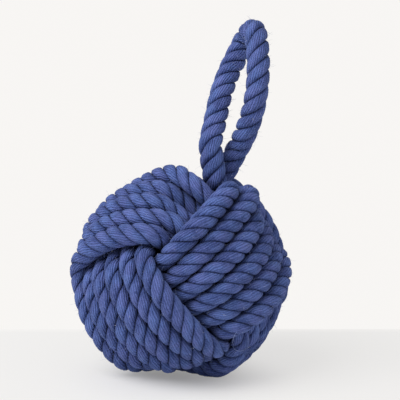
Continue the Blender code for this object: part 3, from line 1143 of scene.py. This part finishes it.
@dataclass(frozen=True)
class RopeFinish:
    """Dyed cotton rope: yarns that run with the rope, with shade painted darker where two strands meet,
    between yarns and where another turn lies close.

    Args:
        light: colour of the worn crowns
        violet: the same where the dye has taken redder
        middle: colour of most of the yarn
        dark: colour of the painted shade in the grooves, between yarns and where turns lie close
        sheen: tint of the sheen
        yarn_pitch: width of one yarn
        yarn_slope: how far a yarn drifts round the rope for each metre along it
        yarn_wander: how many yarns' widths the yarns stray
        fibre_grain: how finely the fibres lie across a yarn, along the rope, and from yarn to yarn
        patches: scale of the worn patches
        fluff: scale of the fluff
        relief: height of the bump
        worn_crowns: share in the wear of the strands' crowns; likewise for yarns, patches, fibres, fluff
        groove_shade: share of the painted shade colour where two strands meet
        yarn_shade: the same between two yarns
        valley_shade: the same where another turn lies against the rope
        deepest_shade: the most of it in all
    """

    light: Colour = (0.124, 0.194, 0.510, 1.0)
    violet: Colour = (0.134, 0.176, 0.475, 1.0)
    middle: Colour = (0.022, 0.042, 0.160, 1.0)
    dark: Colour = (0.003, 0.008, 0.052, 1.0)
    sheen: Colour = (0.50, 0.60, 1.0, 1.0)
    yarn_pitch: float = 0.00155
    yarn_slope: float = 0.30
    yarn_wander: float = 1.4
    fibre_grain: Place = (2.5, 420.0, 7.3)
    patches: float = 75.0
    fluff: float = 1500.0
    relief: float = 0.00056
    worn_crowns: float = 0.35
    worn_yarns: float = 0.38
    worn_patches: float = 0.55
    worn_fibres: float = 0.35
    worn_fluff: float = 0.50
    groove_shade: float = 0.42
    yarn_shade: float = 0.23
    valley_shade: float = 0.60
    deepest_shade: float = 0.97

    def material(self) -> bpy.types.Material:
        """Mix the rope's colours and relief.

        Returns:
            the material
        """
        paint = Paint.material("blue_rope_yarn")
        along = paint.node("ShaderNodeSeparateXYZ", {}, {0: paint.node("ShaderNodeUVMap", {"uv_map": "lay"})})
        place = paint.place()
        stray = (paint.noise(place, 170.0) - 0.5) * self.yarn_wander
        across = (along.output(1) - along * self.yarn_slope) / self.yarn_pitch + stray
        number = across.call("FLOOR")
        inside = across.call("FRACT") - 0.5
        yarn = 1.0 - (inside * inside) * 4.0
        tone = paint.node("ShaderNodeTexWhiteNoise", {"noise_dimensions": "1D"}, {"W": number})
        wide, long, apart = self.fibre_grain
        grain = {0: across * wide, 1: along * long, 2: number * apart}
        fibre = paint.noise(paint.node("ShaderNodeCombineXYZ", {}, grain), 1.0, 3.0, 0.65)
        patches = paint.noise(place, self.patches, 4.0, 0.6)
        fluff = paint.noise(place, self.fluff, 2.0, 0.6)
        depth = paint.attribute("depth")
        crown = 1.0 - paint.stretch(0.15, 0.95, depth)
        worn = (crown * self.worn_crowns + tone * self.worn_yarns
                + paint.stretch(0.32, 0.68, patches) * self.worn_patches
                + paint.stretch(0.35, 0.65, fibre) * self.worn_fibres
                + paint.stretch(0.36, 0.64, fluff) * self.worn_fluff)
        pale = paint.mix(paint.stretch(0.35, 0.65, paint.noise(place, 90.0)), self.light, self.violet)
        base = paint.mix(paint.stretch(0.10, 2.00, worn), self.middle, pale)
        # painted shade: darker where two strands meet, between two yarns and where another turn lies close
        groove = paint.stretch(0.80, 1.0, depth)
        valley = paint.stretch(0.35, 1.0, paint.attribute("crowding"))
        between = (1.0 - yarn).call("POWER", 1.7)
        shade = groove * self.groove_shade + between * self.yarn_shade + valley * self.valley_shade
        height = yarn * 1.0 + fibre * 0.25 + fluff * 0.30
        colour = paint.mix(shade.call("MINIMUM", self.deepest_shade), base, self.dark)
        return paint.finish(Base_Color=colour, Roughness=0.92, Sheen_Weight=0.12, Sheen_Roughness=0.5,
                            Sheen_Tint=self.sheen, IOR=1.35, Normal=paint.bump(height, self.relief))


@dataclass(frozen=True)
class FibreFinish:
    """Loose cotton fibres, each a slightly different tone."""

    name: str = "loose_fibre"
    pale: Colour = (0.30, 0.37, 0.62, 1.0)
    dark: Colour = (0.08, 0.12, 0.32, 1.0)
    scale: float = 240.0

    def material(self) -> bpy.types.Material:
        """Mix the fibres' colours.

        Returns:
            the material
        """
        paint = Paint.material(self.name)
        tone = paint.stretch(0.3, 0.7, paint.noise(paint.place(), self.scale, 1.0))
        return paint.finish(Base_Color=paint.mix(tone, self.dark, self.pale), Roughness=0.8, Sheen_Weight=0.3)


@dataclass(frozen=True)
class ClothFinish:
    """Unbleached cotton with a plain weave, painted near black below a height as shade where it shows between
    the rope's turns.

    Args:
        light: colour of the threads' crowns
        dark: colour between the threads
        bag_shade: colour of the painted shade under the rope
        bag_shade_top: height above the floor at which the painted shade ends
        bag_shade_edge: height over which it fades
        thread: distance between two threads
    """

    light: Colour = (0.62, 0.56, 0.44, 1.0)
    dark: Colour = (0.42, 0.36, 0.26, 1.0)
    bag_shade: Colour = (0.008, 0.012, 0.042, 1.0)
    bag_shade_top: float = 0.108
    bag_shade_edge: float = 0.008
    thread: float = 0.0011

    def material(self) -> bpy.types.Material:
        """Mix the bag's colours and relief.

        Returns:
            the material
        """
        paint = Paint.material("bag_cotton_weave")
        place = paint.place()
        axes = paint.node("ShaderNodeSeparateXYZ", {}, {0: place})
        height = axes.output(2)
        pace = 2 * math.pi / self.thread
        first, second, third = ((axis * pace).call("SINE") for axis in (axes, axes.output(1), height))
        weave = first * second + second * third + first * third
        drift = paint.noise(place, 90.0, 3.0)
        clean = paint.mix(paint.stretch(-1.0, 1.6, weave * 0.5 + drift), self.dark, self.light)
        level = height + (drift - 0.5) * 0.01
        # painted shade: the cloth turns near black below a height, where the rope covers it
        shaded = 1.0 - paint.stretch(self.bag_shade_top - self.bag_shade_edge, self.bag_shade_top, level)
        return paint.finish(Base_Color=paint.mix(shaded * 0.97, clean, self.bag_shade), Roughness=0.95,
                            Normal=paint.bump(weave, 0.0002, 0.6))


@dataclass(frozen=True)
class SandFinish:
    """Dry sand with darker and paler grains."""

    pale: Colour = (0.56, 0.44, 0.29, 1.0)
    dark: Colour = (0.30, 0.21, 0.12, 1.0)
    scale: float = 1600.0

    def material(self) -> bpy.types.Material:
        """Mix the sand's colours and relief.

        Returns:
            the material
        """
        paint = Paint.material("dry_sand")
        place = paint.place()
        grains = paint.node("ShaderNodeTexVoronoi", {}, {"Vector": place, "Scale": self.scale},
                            output="Distance")
        tone = paint.stretch(0.1, 1.1, grains + paint.noise(place, 60.0, 3.0) * 0.5)
        return paint.finish(Base_Color=paint.mix(tone, self.dark, self.pale), Roughness=0.97,
                            Normal=paint.bump(grains, 0.0003, 0.8))


@dataclass(frozen=True)
class TwineFinish:
    """Waxed brown twine."""

    pale: Colour = (0.40, 0.27, 0.15, 1.0)
    dark: Colour = (0.20, 0.12, 0.06, 1.0)
    scale: float = 1500.0

    def material(self) -> bpy.types.Material:
        """Mix the twine's colours and relief.

        Returns:
            the material
        """
        paint = Paint.material("waxed_twine")
        fibre = paint.noise(paint.place(), self.scale, 3.0, 0.6)
        return paint.finish(Base_Color=paint.mix(fibre, self.dark, self.pale), Roughness=0.6,
                            Normal=paint.bump(fibre, 0.0002, 0.6))


@dataclass
class RopeBall:
    """The wound ball, one piece for each band of turns."""

    bands: tuple[str, ...] = ("first_band", "second_band", "third_band")

    def build(self, lay: Lay, cuts: list[int], material: bpy.types.Material) -> list[bpy.types.Object]:
        """Lay the strands of the three bands.

        Args:
            lay: the rope's frame
            cuts: rows at which the bands start and end
            material: the rope's material
        Returns:
            the three pieces
        """
        pieces = []
        for name, start, end in zip(self.bands, cuts, cuts[1:]):
            piece = StrandMesh(name).build(lay, material, start, end + 1)
            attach(piece, "knot")
            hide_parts("knot_rope")
            pieces.append(piece)
        return pieces


@dataclass
class RopeHandle:
    """The loop with both its roots.

    Args:
        pivot: middle of the hinge line
        upward: direction in which the rope leaves the ball; not used
        bend_below: how far below the hinge line the bend starts; not used
        bend_above: how far above it the bend ends; not used
        root: length of rope from the right foot to the first band
    """

    pivot: Vector
    upward: Vector
    bend_below: float = 0.010
    bend_above: float = 0.012
    root: float = 0.022

    def build(self, lay: Lay, end: int, material: bpy.types.Material) -> None:
        """Lay the handle's strands from the tucked end on.

        Args:
            lay: the rope's frame
            end: row where the ball's first band starts
            material: the rope's material
        """
        piece = StrandMesh("handle_rope").build(lay, material, 0, end + 1)
        self.bend(piece)
        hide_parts("handle_loop", "tucked_end")

    def bend(self, piece: bpy.types.Object) -> None:
        """Bake a piece of the handle's placement into its mesh."""
        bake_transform(piece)


@dataclass
class LooseFibres:
    """Short fibres on the strands' outer faces: hairs that stand off, or flecks that lie flat.

    Args:
        shortest: length of the shortest fibre
        longest: length of the longest
        thickness: radius at a fibre's root
        lift: the least and the most by which a fibre leans away from the surface
        curl: how strongly it bends
        seed: start of the random draws
        spread: how widely fibres lie round a crown, usually and at most, in radians
        sunk: how deep their roots sit
        taper: share of the radius that is gone at the tip
        rings: rings of points along a fibre
        sides: points on each
    """

    shortest: float = 0.0012
    longest: float = 0.0036
    thickness: float = 0.00006
    lift: tuple[float, float] = (0.25, 1.0)
    curl: float = 0.6
    seed: int = 7
    spread: tuple[float, float] = (0.45, 0.9)
    sunk: float = 0.0002
    taper: float = 0.65
    rings: int = 4
    sides: int = 3

    def build(self, name: str, lay: Lay, rows: np.ndarray, material: bpy.types.Material) -> bpy.types.Object:
        """Make one fibre at each of the rows given, on a strand and at an angle drawn at random.

        Args:
            name: the piece's name
            lay: the rope's frame
            rows: numbers of the rows, one for each fibre
            material: the fibres' material
        Returns:
            the piece, made of thin closed tubes
        """
        draw = np.random.default_rng(self.seed)
        count = len(rows)
        strand = draw.integers(0, lay.strands, count)
        usual, most = self.spread
        angle = np.clip(draw.normal(0.0, usual, count), -most, most)
        section, reach = StrandMesh(name).section(lay.strands)
        order = np.argsort(section)
        away = lay.radius(strand, rows) * np.interp(angle, section[order], reach[order])
        normal = lay.outward(lay.phase(strand, rows) + angle, rows)
        root = lay.rows[rows, :3] + normal * away[:, None] - normal * self.sunk
        along = lay.tangent[rows]
        lean = draw.uniform(*self.lift, count)[:, None]
        aim = unit(normal * lean + along * draw.uniform(-1.0, 1.0, count)[:, None]
                   + np.cross(along, normal) * draw.uniform(-0.8, 0.8, count)[:, None])
        bend = draw.normal(0.0, self.curl, (count, 3)) * 0.5
        bend += normal * (0.15 - bend * normal).sum(1)[:, None] * 0.6
        length = draw.uniform(self.shortest, self.longest, count)[:, None]
        across = unit(np.cross(aim, draw.normal(0.0, 1.0, (count, 3))))
        other = np.cross(aim, across)
        verts = np.empty((count, self.rings, self.sides, 3))
        for ring in range(self.rings):
            part = ring / (self.rings - 1)
            middle = root + (aim * part + bend * part**2) * length
            thick = self.thickness * (1.0 - self.taper * part)
            for side in range(self.sides):
                turn = 2 * math.pi * side / self.sides
                verts[:, ring, side] = middle + (across * math.cos(turn) + other * math.sin(turn)) * thick
        faces = []
        for index in range(count):
            faces += tube_faces(self.rings, self.sides, index * self.rings * self.sides)
        return new_piece(name, verts.reshape(-1, 3), faces, material)


@dataclass
class Fluff:
    """The hairs and flecks on the ball and the handle.

    Args:
        ball_from: distance from the knot's centre beyond which the ball's rope lies outside
        handle_from: distance beyond which the handle's rope is free of the ball
        lowest: height above the floor from which fibres stand
        hairs: number of hairs on the ball and on the handle
        flecks: number of flecks on them
        seed: start of the random draws
    """

    ball_from: float = 0.058
    handle_from: float = 0.072
    lowest: float = 0.014
    hairs: tuple[int, int] = (2600, 520)
    flecks: tuple[int, int] = (520, 110)
    seed: int = 11

    def build(self, lay: Lay, root_end: int, centre: Vector, handle: RopeHandle) -> None:
        """Put the fibres on the rope.

        Args:
            lay: the rope's frame
            root_end: row where the ball's first band starts
            centre: the knot's centre
            handle: the handle, which bakes the placement of the handle's fibres
        """
        draw = np.random.default_rng(self.seed)
        away = np.linalg.norm(lay.rows[:, :3] - np.array(centre), axis=1)
        numbers = np.arange(len(lay.rows))
        outside = (away > self.ball_from) & (lay.rows[:, 2] > self.lowest)
        on_ball = numbers[(numbers > root_end) & outside]
        on_handle = numbers[(numbers < root_end) & (away > self.handle_from)]
        hair = FibreFinish().material()
        fleck = FibreFinish("pale_fleck", (0.62, 0.66, 0.80, 1.0), (0.30, 0.36, 0.58, 1.0)).material()
        flat = LooseFibres(0.0007, 0.0018, 0.00013, lift=(0.0, 0.12), curl=0.3, seed=19)
        for kind, fibres, material, counts in (
                ("hairs", LooseFibres(), hair, self.hairs), ("flecks", flat, fleck, self.flecks)):
            piece = fibres.build(f"ball_{kind}", lay, draw.choice(on_ball, counts[0]), material)
            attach(piece, "knot")
            piece = fibres.build(f"handle_{kind}", lay, draw.choice(on_handle, counts[1]), material)
            handle.bend(piece)


@dataclass
class Surface:
    """The rope as a surface that a ray can meet."""

    pieces: list[bpy.types.Object]

    def __post_init__(self) -> None:
        """Gather the pieces' faces into one search tree."""
        verts: list[Vector] = []
        faces: list[Face] = []
        for piece in self.pieces:
            base = len(verts)
            verts += [vertex.co.copy() for vertex in piece.data.vertices]
            faces += [tuple(base + number for number in face.vertices) for face in piece.data.polygons]
        self.tree = BVHTree.FromPolygons(verts, faces)

    def meet(self, start: Vector, direction: Vector) -> Vector | None:
        """The first place where a ray meets the rope."""
        return self.tree.ray_cast(start, direction)[0]


@dataclass
class FrayedYarn:
    """A pale yarn that has worked loose at the front corner, lying in a small loop on the rope.

    Args:
        route: where it runs in the picture, in pixels right of and above the knot's centre, with its
            height off the rope in yarn radii
        radius: the yarn's radius
        sides: faces round a strand
        strands: how many strands are laid together
        lay: length of one whole turn of the strands
        step: distance between its points
    """

    route: tuple[Place, ...] = (
        (51.5, -57.5, 0.0), (48.5, -62.5, 1.0), (47.0, -68.0, 2.0), (47.5, -72.5, 1.5), (50.5, -76.0, 1.0),
        (55.0, -77.0, 1.5), (60.0, -75.0, 1.0), (64.0, -73.0, 0.0),
    )
    radius: float = 0.00022
    sides: int = 8
    strands: int = 2
    lay: float = 0.0028
    step: float = 0.0005

    def build(self, rope: Surface, studio: Studio, centre: Vector) -> None:
        """Lay the yarn on the rope as the camera sees it.

        Args:
            rope: the rope's surface
            studio: the camera's place
            centre: the knot's centre
        """
        eye = studio.eye(centre)
        points = []
        for right, upward, height in self.route:
            ray = (studio.on_screen(centre, right, upward) - eye).normalized()
            met = rope.meet(eye, ray)
            if met is not None:
                points.append(np.array(met - ray * (height + 1.0) * self.radius))
        rows = np.column_stack([points, np.full(len(points), self.radius)])
        lay = Lay(even_curve(rows, self.step), self.lay, self.strands)
        finish = FibreFinish("frayed_yarn", (0.30, 0.38, 0.66, 1.0), (0.12, 0.18, 0.44, 1.0))
        piece = StrandMesh("frayed_yarn", sides=self.sides).build(lay, finish.material())
        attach(piece, "knot")


@dataclass
class WeightBag:
    """The gathered cotton bag of sand under the rope, tied off with twine.

    Args:
        route: the rope's route, which seats the bag
        centre: the knot's centre
        sizes: the bag's own sizes
        around: points round the bag
        pleats: folds round the neck
        fold: depth of a fold at the neck, in thicknesses of the wall
        fold_run: radius at which the folds start to run out, and over how much they do
        cloth: thickness of the cloth itself, in thicknesses of the wall
        grain: how far the sand's grains stand out
        seed: start of the random draws for them
        twine_radius: radius of the twine
        twine_turns: its turns round the neck
        twine_pitch: distance between its turns
        twine_tail: how far its ends stand off
        twine_lay: length of one whole turn of its strands
    """

    route: RopeRoute
    centre: np.ndarray
    sizes: BagSizes = BagSizes()
    around: int = 112
    pleats: int = 14
    fold: float = 0.55
    fold_run: tuple[float, float] = (0.006, 0.026)
    cloth: float = 0.35
    grain: float = 0.00025
    seed: int = 3
    twine_radius: float = 0.00052
    twine_turns: float = 3.1
    twine_pitch: float = 0.00112
    twine_tail: float = 0.004
    twine_lay: float = 0.0034

    @property
    def radius(self) -> float:
        """Outer radius of the filled bag."""
        return self.route.core_radius - self.sizes.slack

    @property
    def rim(self) -> float:
        """Height of the neck's rim above the knot's centre."""
        return math.sqrt(self.radius**2 - self.sizes.dimple**2)

    @property
    def base(self) -> float:
        """Height of the bag's flat base about the knot's centre."""
        return self.route.core_base + self.sizes.slack - self.route.centre_height

    def pressed(self, places: np.ndarray, inset: float) -> np.ndarray:
        """Places on an even body given the bag's uneven shape, with its base kept flat.

        Args:
            places: places about the knot's centre
            inset: how far the body lies inside the bag's outer face
        Returns:
            the pressed places about the knot's centre
        """
        share = (self.radius * self.route.knot.swell(places) - inset) / (self.radius - inset)
        result = places * share[:, None]
        flat = self.base + inset
        result[:, 2] = np.where(places[:, 2] < flat + 1e-6, flat, np.maximum(result[:, 2], flat))
        return result

    def turned(self, profile: list[Place], inset: float) -> np.ndarray:
        """Rings of places from a profile, folded and pressed uneven.

        Args:
            profile: radius, height and depth of the folds from top to bottom, without the poles
            inset: how far the body lies inside the bag's outer face
        Returns:
            an array of rings by places round them, about the knot's centre
        """
        angles = 2 * math.pi * np.arange(self.around) / self.around
        folds = 0.5 - 0.5 * np.cos(self.pleats * angles + 0.8 * np.sin(3 * angles))
        rings = []
        for radius, height, depth in profile:
            here = radius - depth * folds
            ring = [here * np.cos(angles), here * np.sin(angles), np.full(self.around, height)]
            rings.append(self.pressed(np.stack(ring, axis=1), inset))
        return np.array(rings)

    @staticmethod
    def arc(radius: float, top: float, bottom: float, steps: int) -> list[tuple[float, float]]:
        """Radius and height of points on a round side, between two angles above level."""
        angles = [top + (bottom - top) * number / steps for number in range(steps + 1)]
        return [(radius * math.cos(angle), radius * math.sin(angle)) for angle in angles]

    def shoulder(self, floor: float) -> list[tuple[float, float]]:
        """The bag's outline from the foot of its neck over the shoulder to the middle of its base.

        Args:
            floor: height of the neck's foot
        Returns:
            radius and height of each point
        """
        top = math.acos(self.sizes.dimple / self.radius) - math.radians(4.0)
        side = self.arc(self.radius, top, math.asin(self.base / self.radius), 44)
        near = (self.sizes.neck_radius + 0.002, floor)
        rows = [(near[0] + (side[0][0] - near[0]) * part, near[1] + (side[0][1] - near[1]) * part)
                for part in (0.0, 0.25, 0.5, 0.75)]
        return rows + side + [(side[-1][0] * part, self.base) for part in (0.75, 0.5, 0.25, 0.08)]

    def build_bag(self) -> None:
        """The cloth: a gathered neck, folds that run out over the shoulder, and a flat base."""
        sizes = self.sizes
        floor = self.rim - sizes.neck_height
        fold = self.fold * sizes.wall
        heights = [self.rim - height for height in (0.0, 0.0008, 0.002, 0.0035)]
        heights += [floor + height for height in (0.0035, 0.0022, 0.0013)]
        profile = [(sizes.neck_radius - 0.0001, height, fold) for height in heights]
        for radius, height in self.shoulder(floor):
            reach = min(1.0, max(0.0, (radius - self.fold_run[0]) / self.fold_run[1]))
            profile.append((radius, height, fold * (1.0 - reach) ** 1.5 if height > 0.0 else 0.0))
        verts = self.turned(profile, 0.0).reshape(-1, 3) + self.centre
        faces = ring_faces(len(profile), self.around, downward=True)
        faces.append(cap_face(self.around, (len(profile) - 1) * self.around, backwards=True))
        piece = new_piece("cotton_bag", verts, faces, ClothFinish().material())
        wall = piece.modifiers.new("cloth", "SOLIDIFY")
        wall.thickness = self.cloth * sizes.wall
        wall.offset = -1.0
        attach(piece, "knot")
        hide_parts("sand_bag")

    def build_sand(self) -> None:
        """The sand, level under the neck and rough where the grains show."""
        inset = self.sizes.wall + self.sizes.gap
        level = self.rim - self.sizes.neck_height - inset
        radius = self.radius - inset
        bottom = self.base + inset
        side = self.arc(radius, math.asin(level / radius), math.asin(bottom / radius), 40)
        outline = [(side[0][0] * part, level) for part in (0.06, 0.2, 0.4, 0.6, 0.8)] + side
        outline += [(side[-1][0] * part, bottom) for part in (0.75, 0.5, 0.25, 0.06)]
        rings = self.turned([(reach, height, 0.0) for reach, height in outline], inset)
        rough = np.random.default_rng(self.seed).uniform(0.0, self.grain, rings.shape[:2])
        rings *= 1.0 - (rough / np.linalg.norm(rings, axis=2))[:, :, None]
        faces = ring_faces(len(outline), self.around, downward=True)
        faces.append(cap_face(self.around, 0))
        faces.append(cap_face(self.around, (len(outline) - 1) * self.around, backwards=True))
        piece = new_piece("packed_sand", rings.reshape(-1, 3) + self.centre, faces, SandFinish().material())
        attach(piece, "knot")
        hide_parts("sand_fill")

    def build_twine(self) -> None:
        """Three turns of two-strand twine round the neck, with short tails."""
        height = self.rim - self.sizes.neck_height / 2
        squeeze = float(self.route.knot.swell(np.array([[0.0, 0.0, height]]))[0])
        ring = self.sizes.neck_radius * squeeze + self.sizes.gap + self.twine_radius
        turns, loose, points = self.twine_turns, 0.25, 260
        angles = np.linspace(-loose, turns + loose, points)
        outside = np.clip(np.maximum(-angles, angles - turns) / loose, 0.0, 1.0)
        reach = ring + self.twine_tail * outside**1.5
        rows = np.column_stack([
            reach * np.cos(2 * math.pi * angles), reach * np.sin(2 * math.pi * angles),
            height * squeeze + self.twine_pitch * (np.clip(angles, 0.0, turns) - turns / 2),
            np.full(points, self.twine_radius)])
        rows[:, :3] += self.centre
        lay = Lay(even_curve(rows, step=0.0006), self.twine_lay, strands=2)
        piece = StrandMesh("twine_whipping", sides=10).build(lay, TwineFinish().material())
        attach(piece, "knot")
        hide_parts("neck_twine")

    def build(self) -> None:
        """Make the bag, the sand and the twine."""
        self.build_bag()
        self.build_sand()
        self.build_twine()


@dataclass
class Studio:
    """A pale floor and wall, soft lights, and the photograph's camera.

    Args:
        pixel: metres that one pixel of the photograph covers at the ball
        elevation: the camera's height above level, in degrees
        aim_right: how far right of the knot's centre the picture's middle lies, in pixels
        aim_up: how far above it, in pixels
        distance: from the camera to the ball
        frame_pixels: width of the photograph
        sensor: camera sensor width in millimetres
        floor_end: how far behind the origin the floor starts to turn into the wall's white
        floor_fade: over which length it does
        shade_middle: where on the floor the shadow is deepest
        shade_reach: from there, where the shadow starts and ends to pale
        floor_lift: share of its own light that the floor has at these two distances
        floor: colour of the floor
        wall: colour of the wall
        sky: strength of the world's light
        lamps: name, place about the knot's centre, width and power of each lamp
    """

    pixel: float = 0.000651
    elevation: float = 10.0
    aim_right: float = 14.5
    aim_up: float = 74.0
    distance: float = 1.10
    frame_pixels: int = 400
    sensor: float = 36.0
    floor_end: float = 0.093
    floor_fade: float = 0.012
    shade_middle: Place = (-0.012, -0.040, 0.0)
    shade_reach: tuple[float, float] = (0.015, 0.095)
    floor_lift: tuple[float, float] = (0.26, 0.76)
    floor: Colour = (0.870, 0.860, 0.848, 1.0)
    wall: Colour = (0.935, 0.918, 0.900, 1.0)
    sky: float = 0.50
    lamps: tuple[tuple[str, Place, float, float], ...] = (
        ("key", (-1.35, -0.90, 1.85), 2.0, 55.0),
        ("fill", (1.4, -1.2, 0.8), 1.4, 2.0),
    )

    def build(self, centre: Vector) -> None:
        """Make the camera, the floor, the lamps and the world.

        Args:
            centre: the knot's centre
        """
        self.make_camera(centre)
        self.make_ground()
        self.make_lamps(centre)
        self.make_sky()

    @property
    def ahead(self) -> Vector:
        """Direction in which the camera looks."""
        angle = math.radians(self.elevation)
        return Vector((0.0, math.cos(angle), -math.sin(angle)))

    @property
    def upward(self) -> Vector:
        """Direction that is up in the picture."""
        angle = math.radians(self.elevation)
        return Vector((0.0, math.sin(angle), math.cos(angle)))

    def on_screen(self, centre: Vector, right: float, upward: float) -> Vector:
        """The place beside the knot's centre that lies so many pixels right of it and above it."""
        return centre + Vector((right * self.pixel, 0.0, 0.0)) + self.upward * upward * self.pixel

    def eye(self, centre: Vector) -> Vector:
        """The camera's place."""
        return self.on_screen(centre, self.aim_right, self.aim_up) - self.ahead * self.distance

    @staticmethod
    def put(data: bpy.types.Camera | bpy.types.Light, place: Vector, aim: Vector) -> bpy.types.Object:
        """Put a camera or a lamp into the scene.

        Args:
            data: the camera or lamp
            place: where it stands
            aim: the direction in which it looks
        Returns:
            its object
        """
        thing = bpy.data.objects.new(data.name, data)
        bpy.context.scene.collection.objects.link(thing)
        thing.location = place
        thing.rotation_euler = aim.to_track_quat("-Z", "Y").to_euler()
        return thing

    def make_camera(self, centre: Vector) -> None:
        """Aim the camera as in the photograph.

        Args:
            centre: the knot's centre
        """
        data = bpy.data.cameras.new("camera")
        data.sensor_width = self.sensor
        data.lens = self.sensor * self.distance / (self.frame_pixels * self.pixel)
        data.clip_start = 0.05
        bpy.context.scene.camera = self.put(data, self.eye(centre), self.ahead)

    def make_ground(self) -> None:
        """A pale floor that the camera sees turn into the wall's white a little way behind the ball, and that
        glows for the camera, more so away from the ball: painted light that pales the ball's shadow there.
        """
        bpy.ops.mesh.primitive_plane_add(size=6.0, location=(0.0, 0.0, 0.0))
        floor = bpy.context.object
        floor.name = "floor"
        paint = Paint.material("floor_white")
        place = paint.place()
        depth = paint.node("ShaderNodeSeparateXYZ", {}, {0: place}, output=1)
        seen = paint.node("ShaderNodeLightPath", output="Is Camera Ray")
        behind = paint.node("ShaderNodeMapRange", {}, {
            "Value": depth, "From Min": self.floor_end, "From Max": self.floor_end + self.floor_fade})
        pale = paint.mix(behind, self.floor, self.wall)
        glow = paint.node("ShaderNodeEmission", {}, {"Color": pale, "Strength": 1.0})
        away = paint.node("ShaderNodeVectorMath", {"operation": "DISTANCE"}, {0: place, 1: self.shade_middle},
                          output="Value")
        # painted light: away from the ball the floor glows more for the camera and pales the shadow
        lift = paint.node("ShaderNodeMapRange", {"interpolation_type": "SMOOTHSTEP"}, {
            "Value": away, "From Min": self.shade_reach[0], "From Max": self.shade_reach[1],
            "To Min": self.floor_lift[0], "To Max": self.floor_lift[1]})
        lifted = behind.call("MAXIMUM", lift) * seen
        lit = Signal(paint, paint.shader.outputs[0])
        blend = paint.node("ShaderNodeMixShader", {}, {0: lifted, 1: lit, 2: glow})
        paint.feed(paint.tree.nodes["Material Output"].inputs[0], blend)
        floor.data.materials.append(paint.finish(Base_Color=self.floor, Roughness=0.9))

    def make_lamps(self, centre: Vector) -> None:
        """Make a large soft key at the upper left front, and a weak fill.

        Args:
            centre: the knot's centre
        """
        for name, place, size, energy in self.lamps:
            data = bpy.data.lights.new(name, "AREA")
            data.shape = "SQUARE"
            data.size = size
            data.energy = energy
            self.put(data, Vector(place) + centre, -Vector(place))

    def make_sky(self) -> None:
        """A world that lights everything evenly and that the camera sees as the wall."""
        world = bpy.data.worlds.new("studio")
        bpy.context.scene.world = world
        paint = Paint(world, "Background")
        paint.finish(Color=(1.0, 1.0, 1.0, 1.0), Strength=self.sky)
        wall = paint.node("ShaderNodeBackground", {}, {"Color": self.wall})
        seen = paint.node("ShaderNodeLightPath", output="Is Camera Ray")
        light = Signal(paint, paint.shader.outputs[0])
        chosen = paint.node("ShaderNodeMixShader", {}, {0: seen, 1: light, 2: wall})
        paint.feed(paint.tree.nodes["World Output"].inputs[0], chosen)


def main() -> None:
    """Load the frame and build the doorstop's looks."""
    logging.basicConfig(level=logging.INFO, format="%(name)s %(message)s")
    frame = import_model()
    bpy.context.scene.view_settings.view_transform = "Standard"
    rope = RopeSizes()
    route = RopeRoute(rope, KnotSizes(), HandleSizes())
    line = route.handle_line()
    handle = RopeHandle(Vector(frame["joints"][0]["pos_m"]), Vector(route.handle.foot_direction).normalized())
    centre = handle.pivot - Vector(0.5 * (line[0] + line[-1]))
    studio = Studio()
    studio.build(centre)
    rows, (foot, *corners) = route.solve()
    rows = Fullness().swell(rows, route.step)
    rows[:, :3] += np.array(centre)
    lay = Lay(rows, rope.lay, rope.strands, neighbours=Crowding().moments(rows, route.step))
    LOG.info("rope: %.2f m in %d rows", lay.length[-1], len(rows))
    root_end, *cuts = (int(np.searchsorted(lay.length, mark)) for mark in (foot + handle.root, *corners))
    material = RopeFinish().material()
    handle.build(lay, root_end, material)
    bands = RopeBall().build(lay, [root_end, *cuts, len(rows)], material)
    WeightBag(route, np.array(centre)).build()
    Fluff().build(lay, root_end, centre, handle)
    FrayedYarn().build(Surface(bands), studio, centre)


if __name__ == "__main__":
    main()
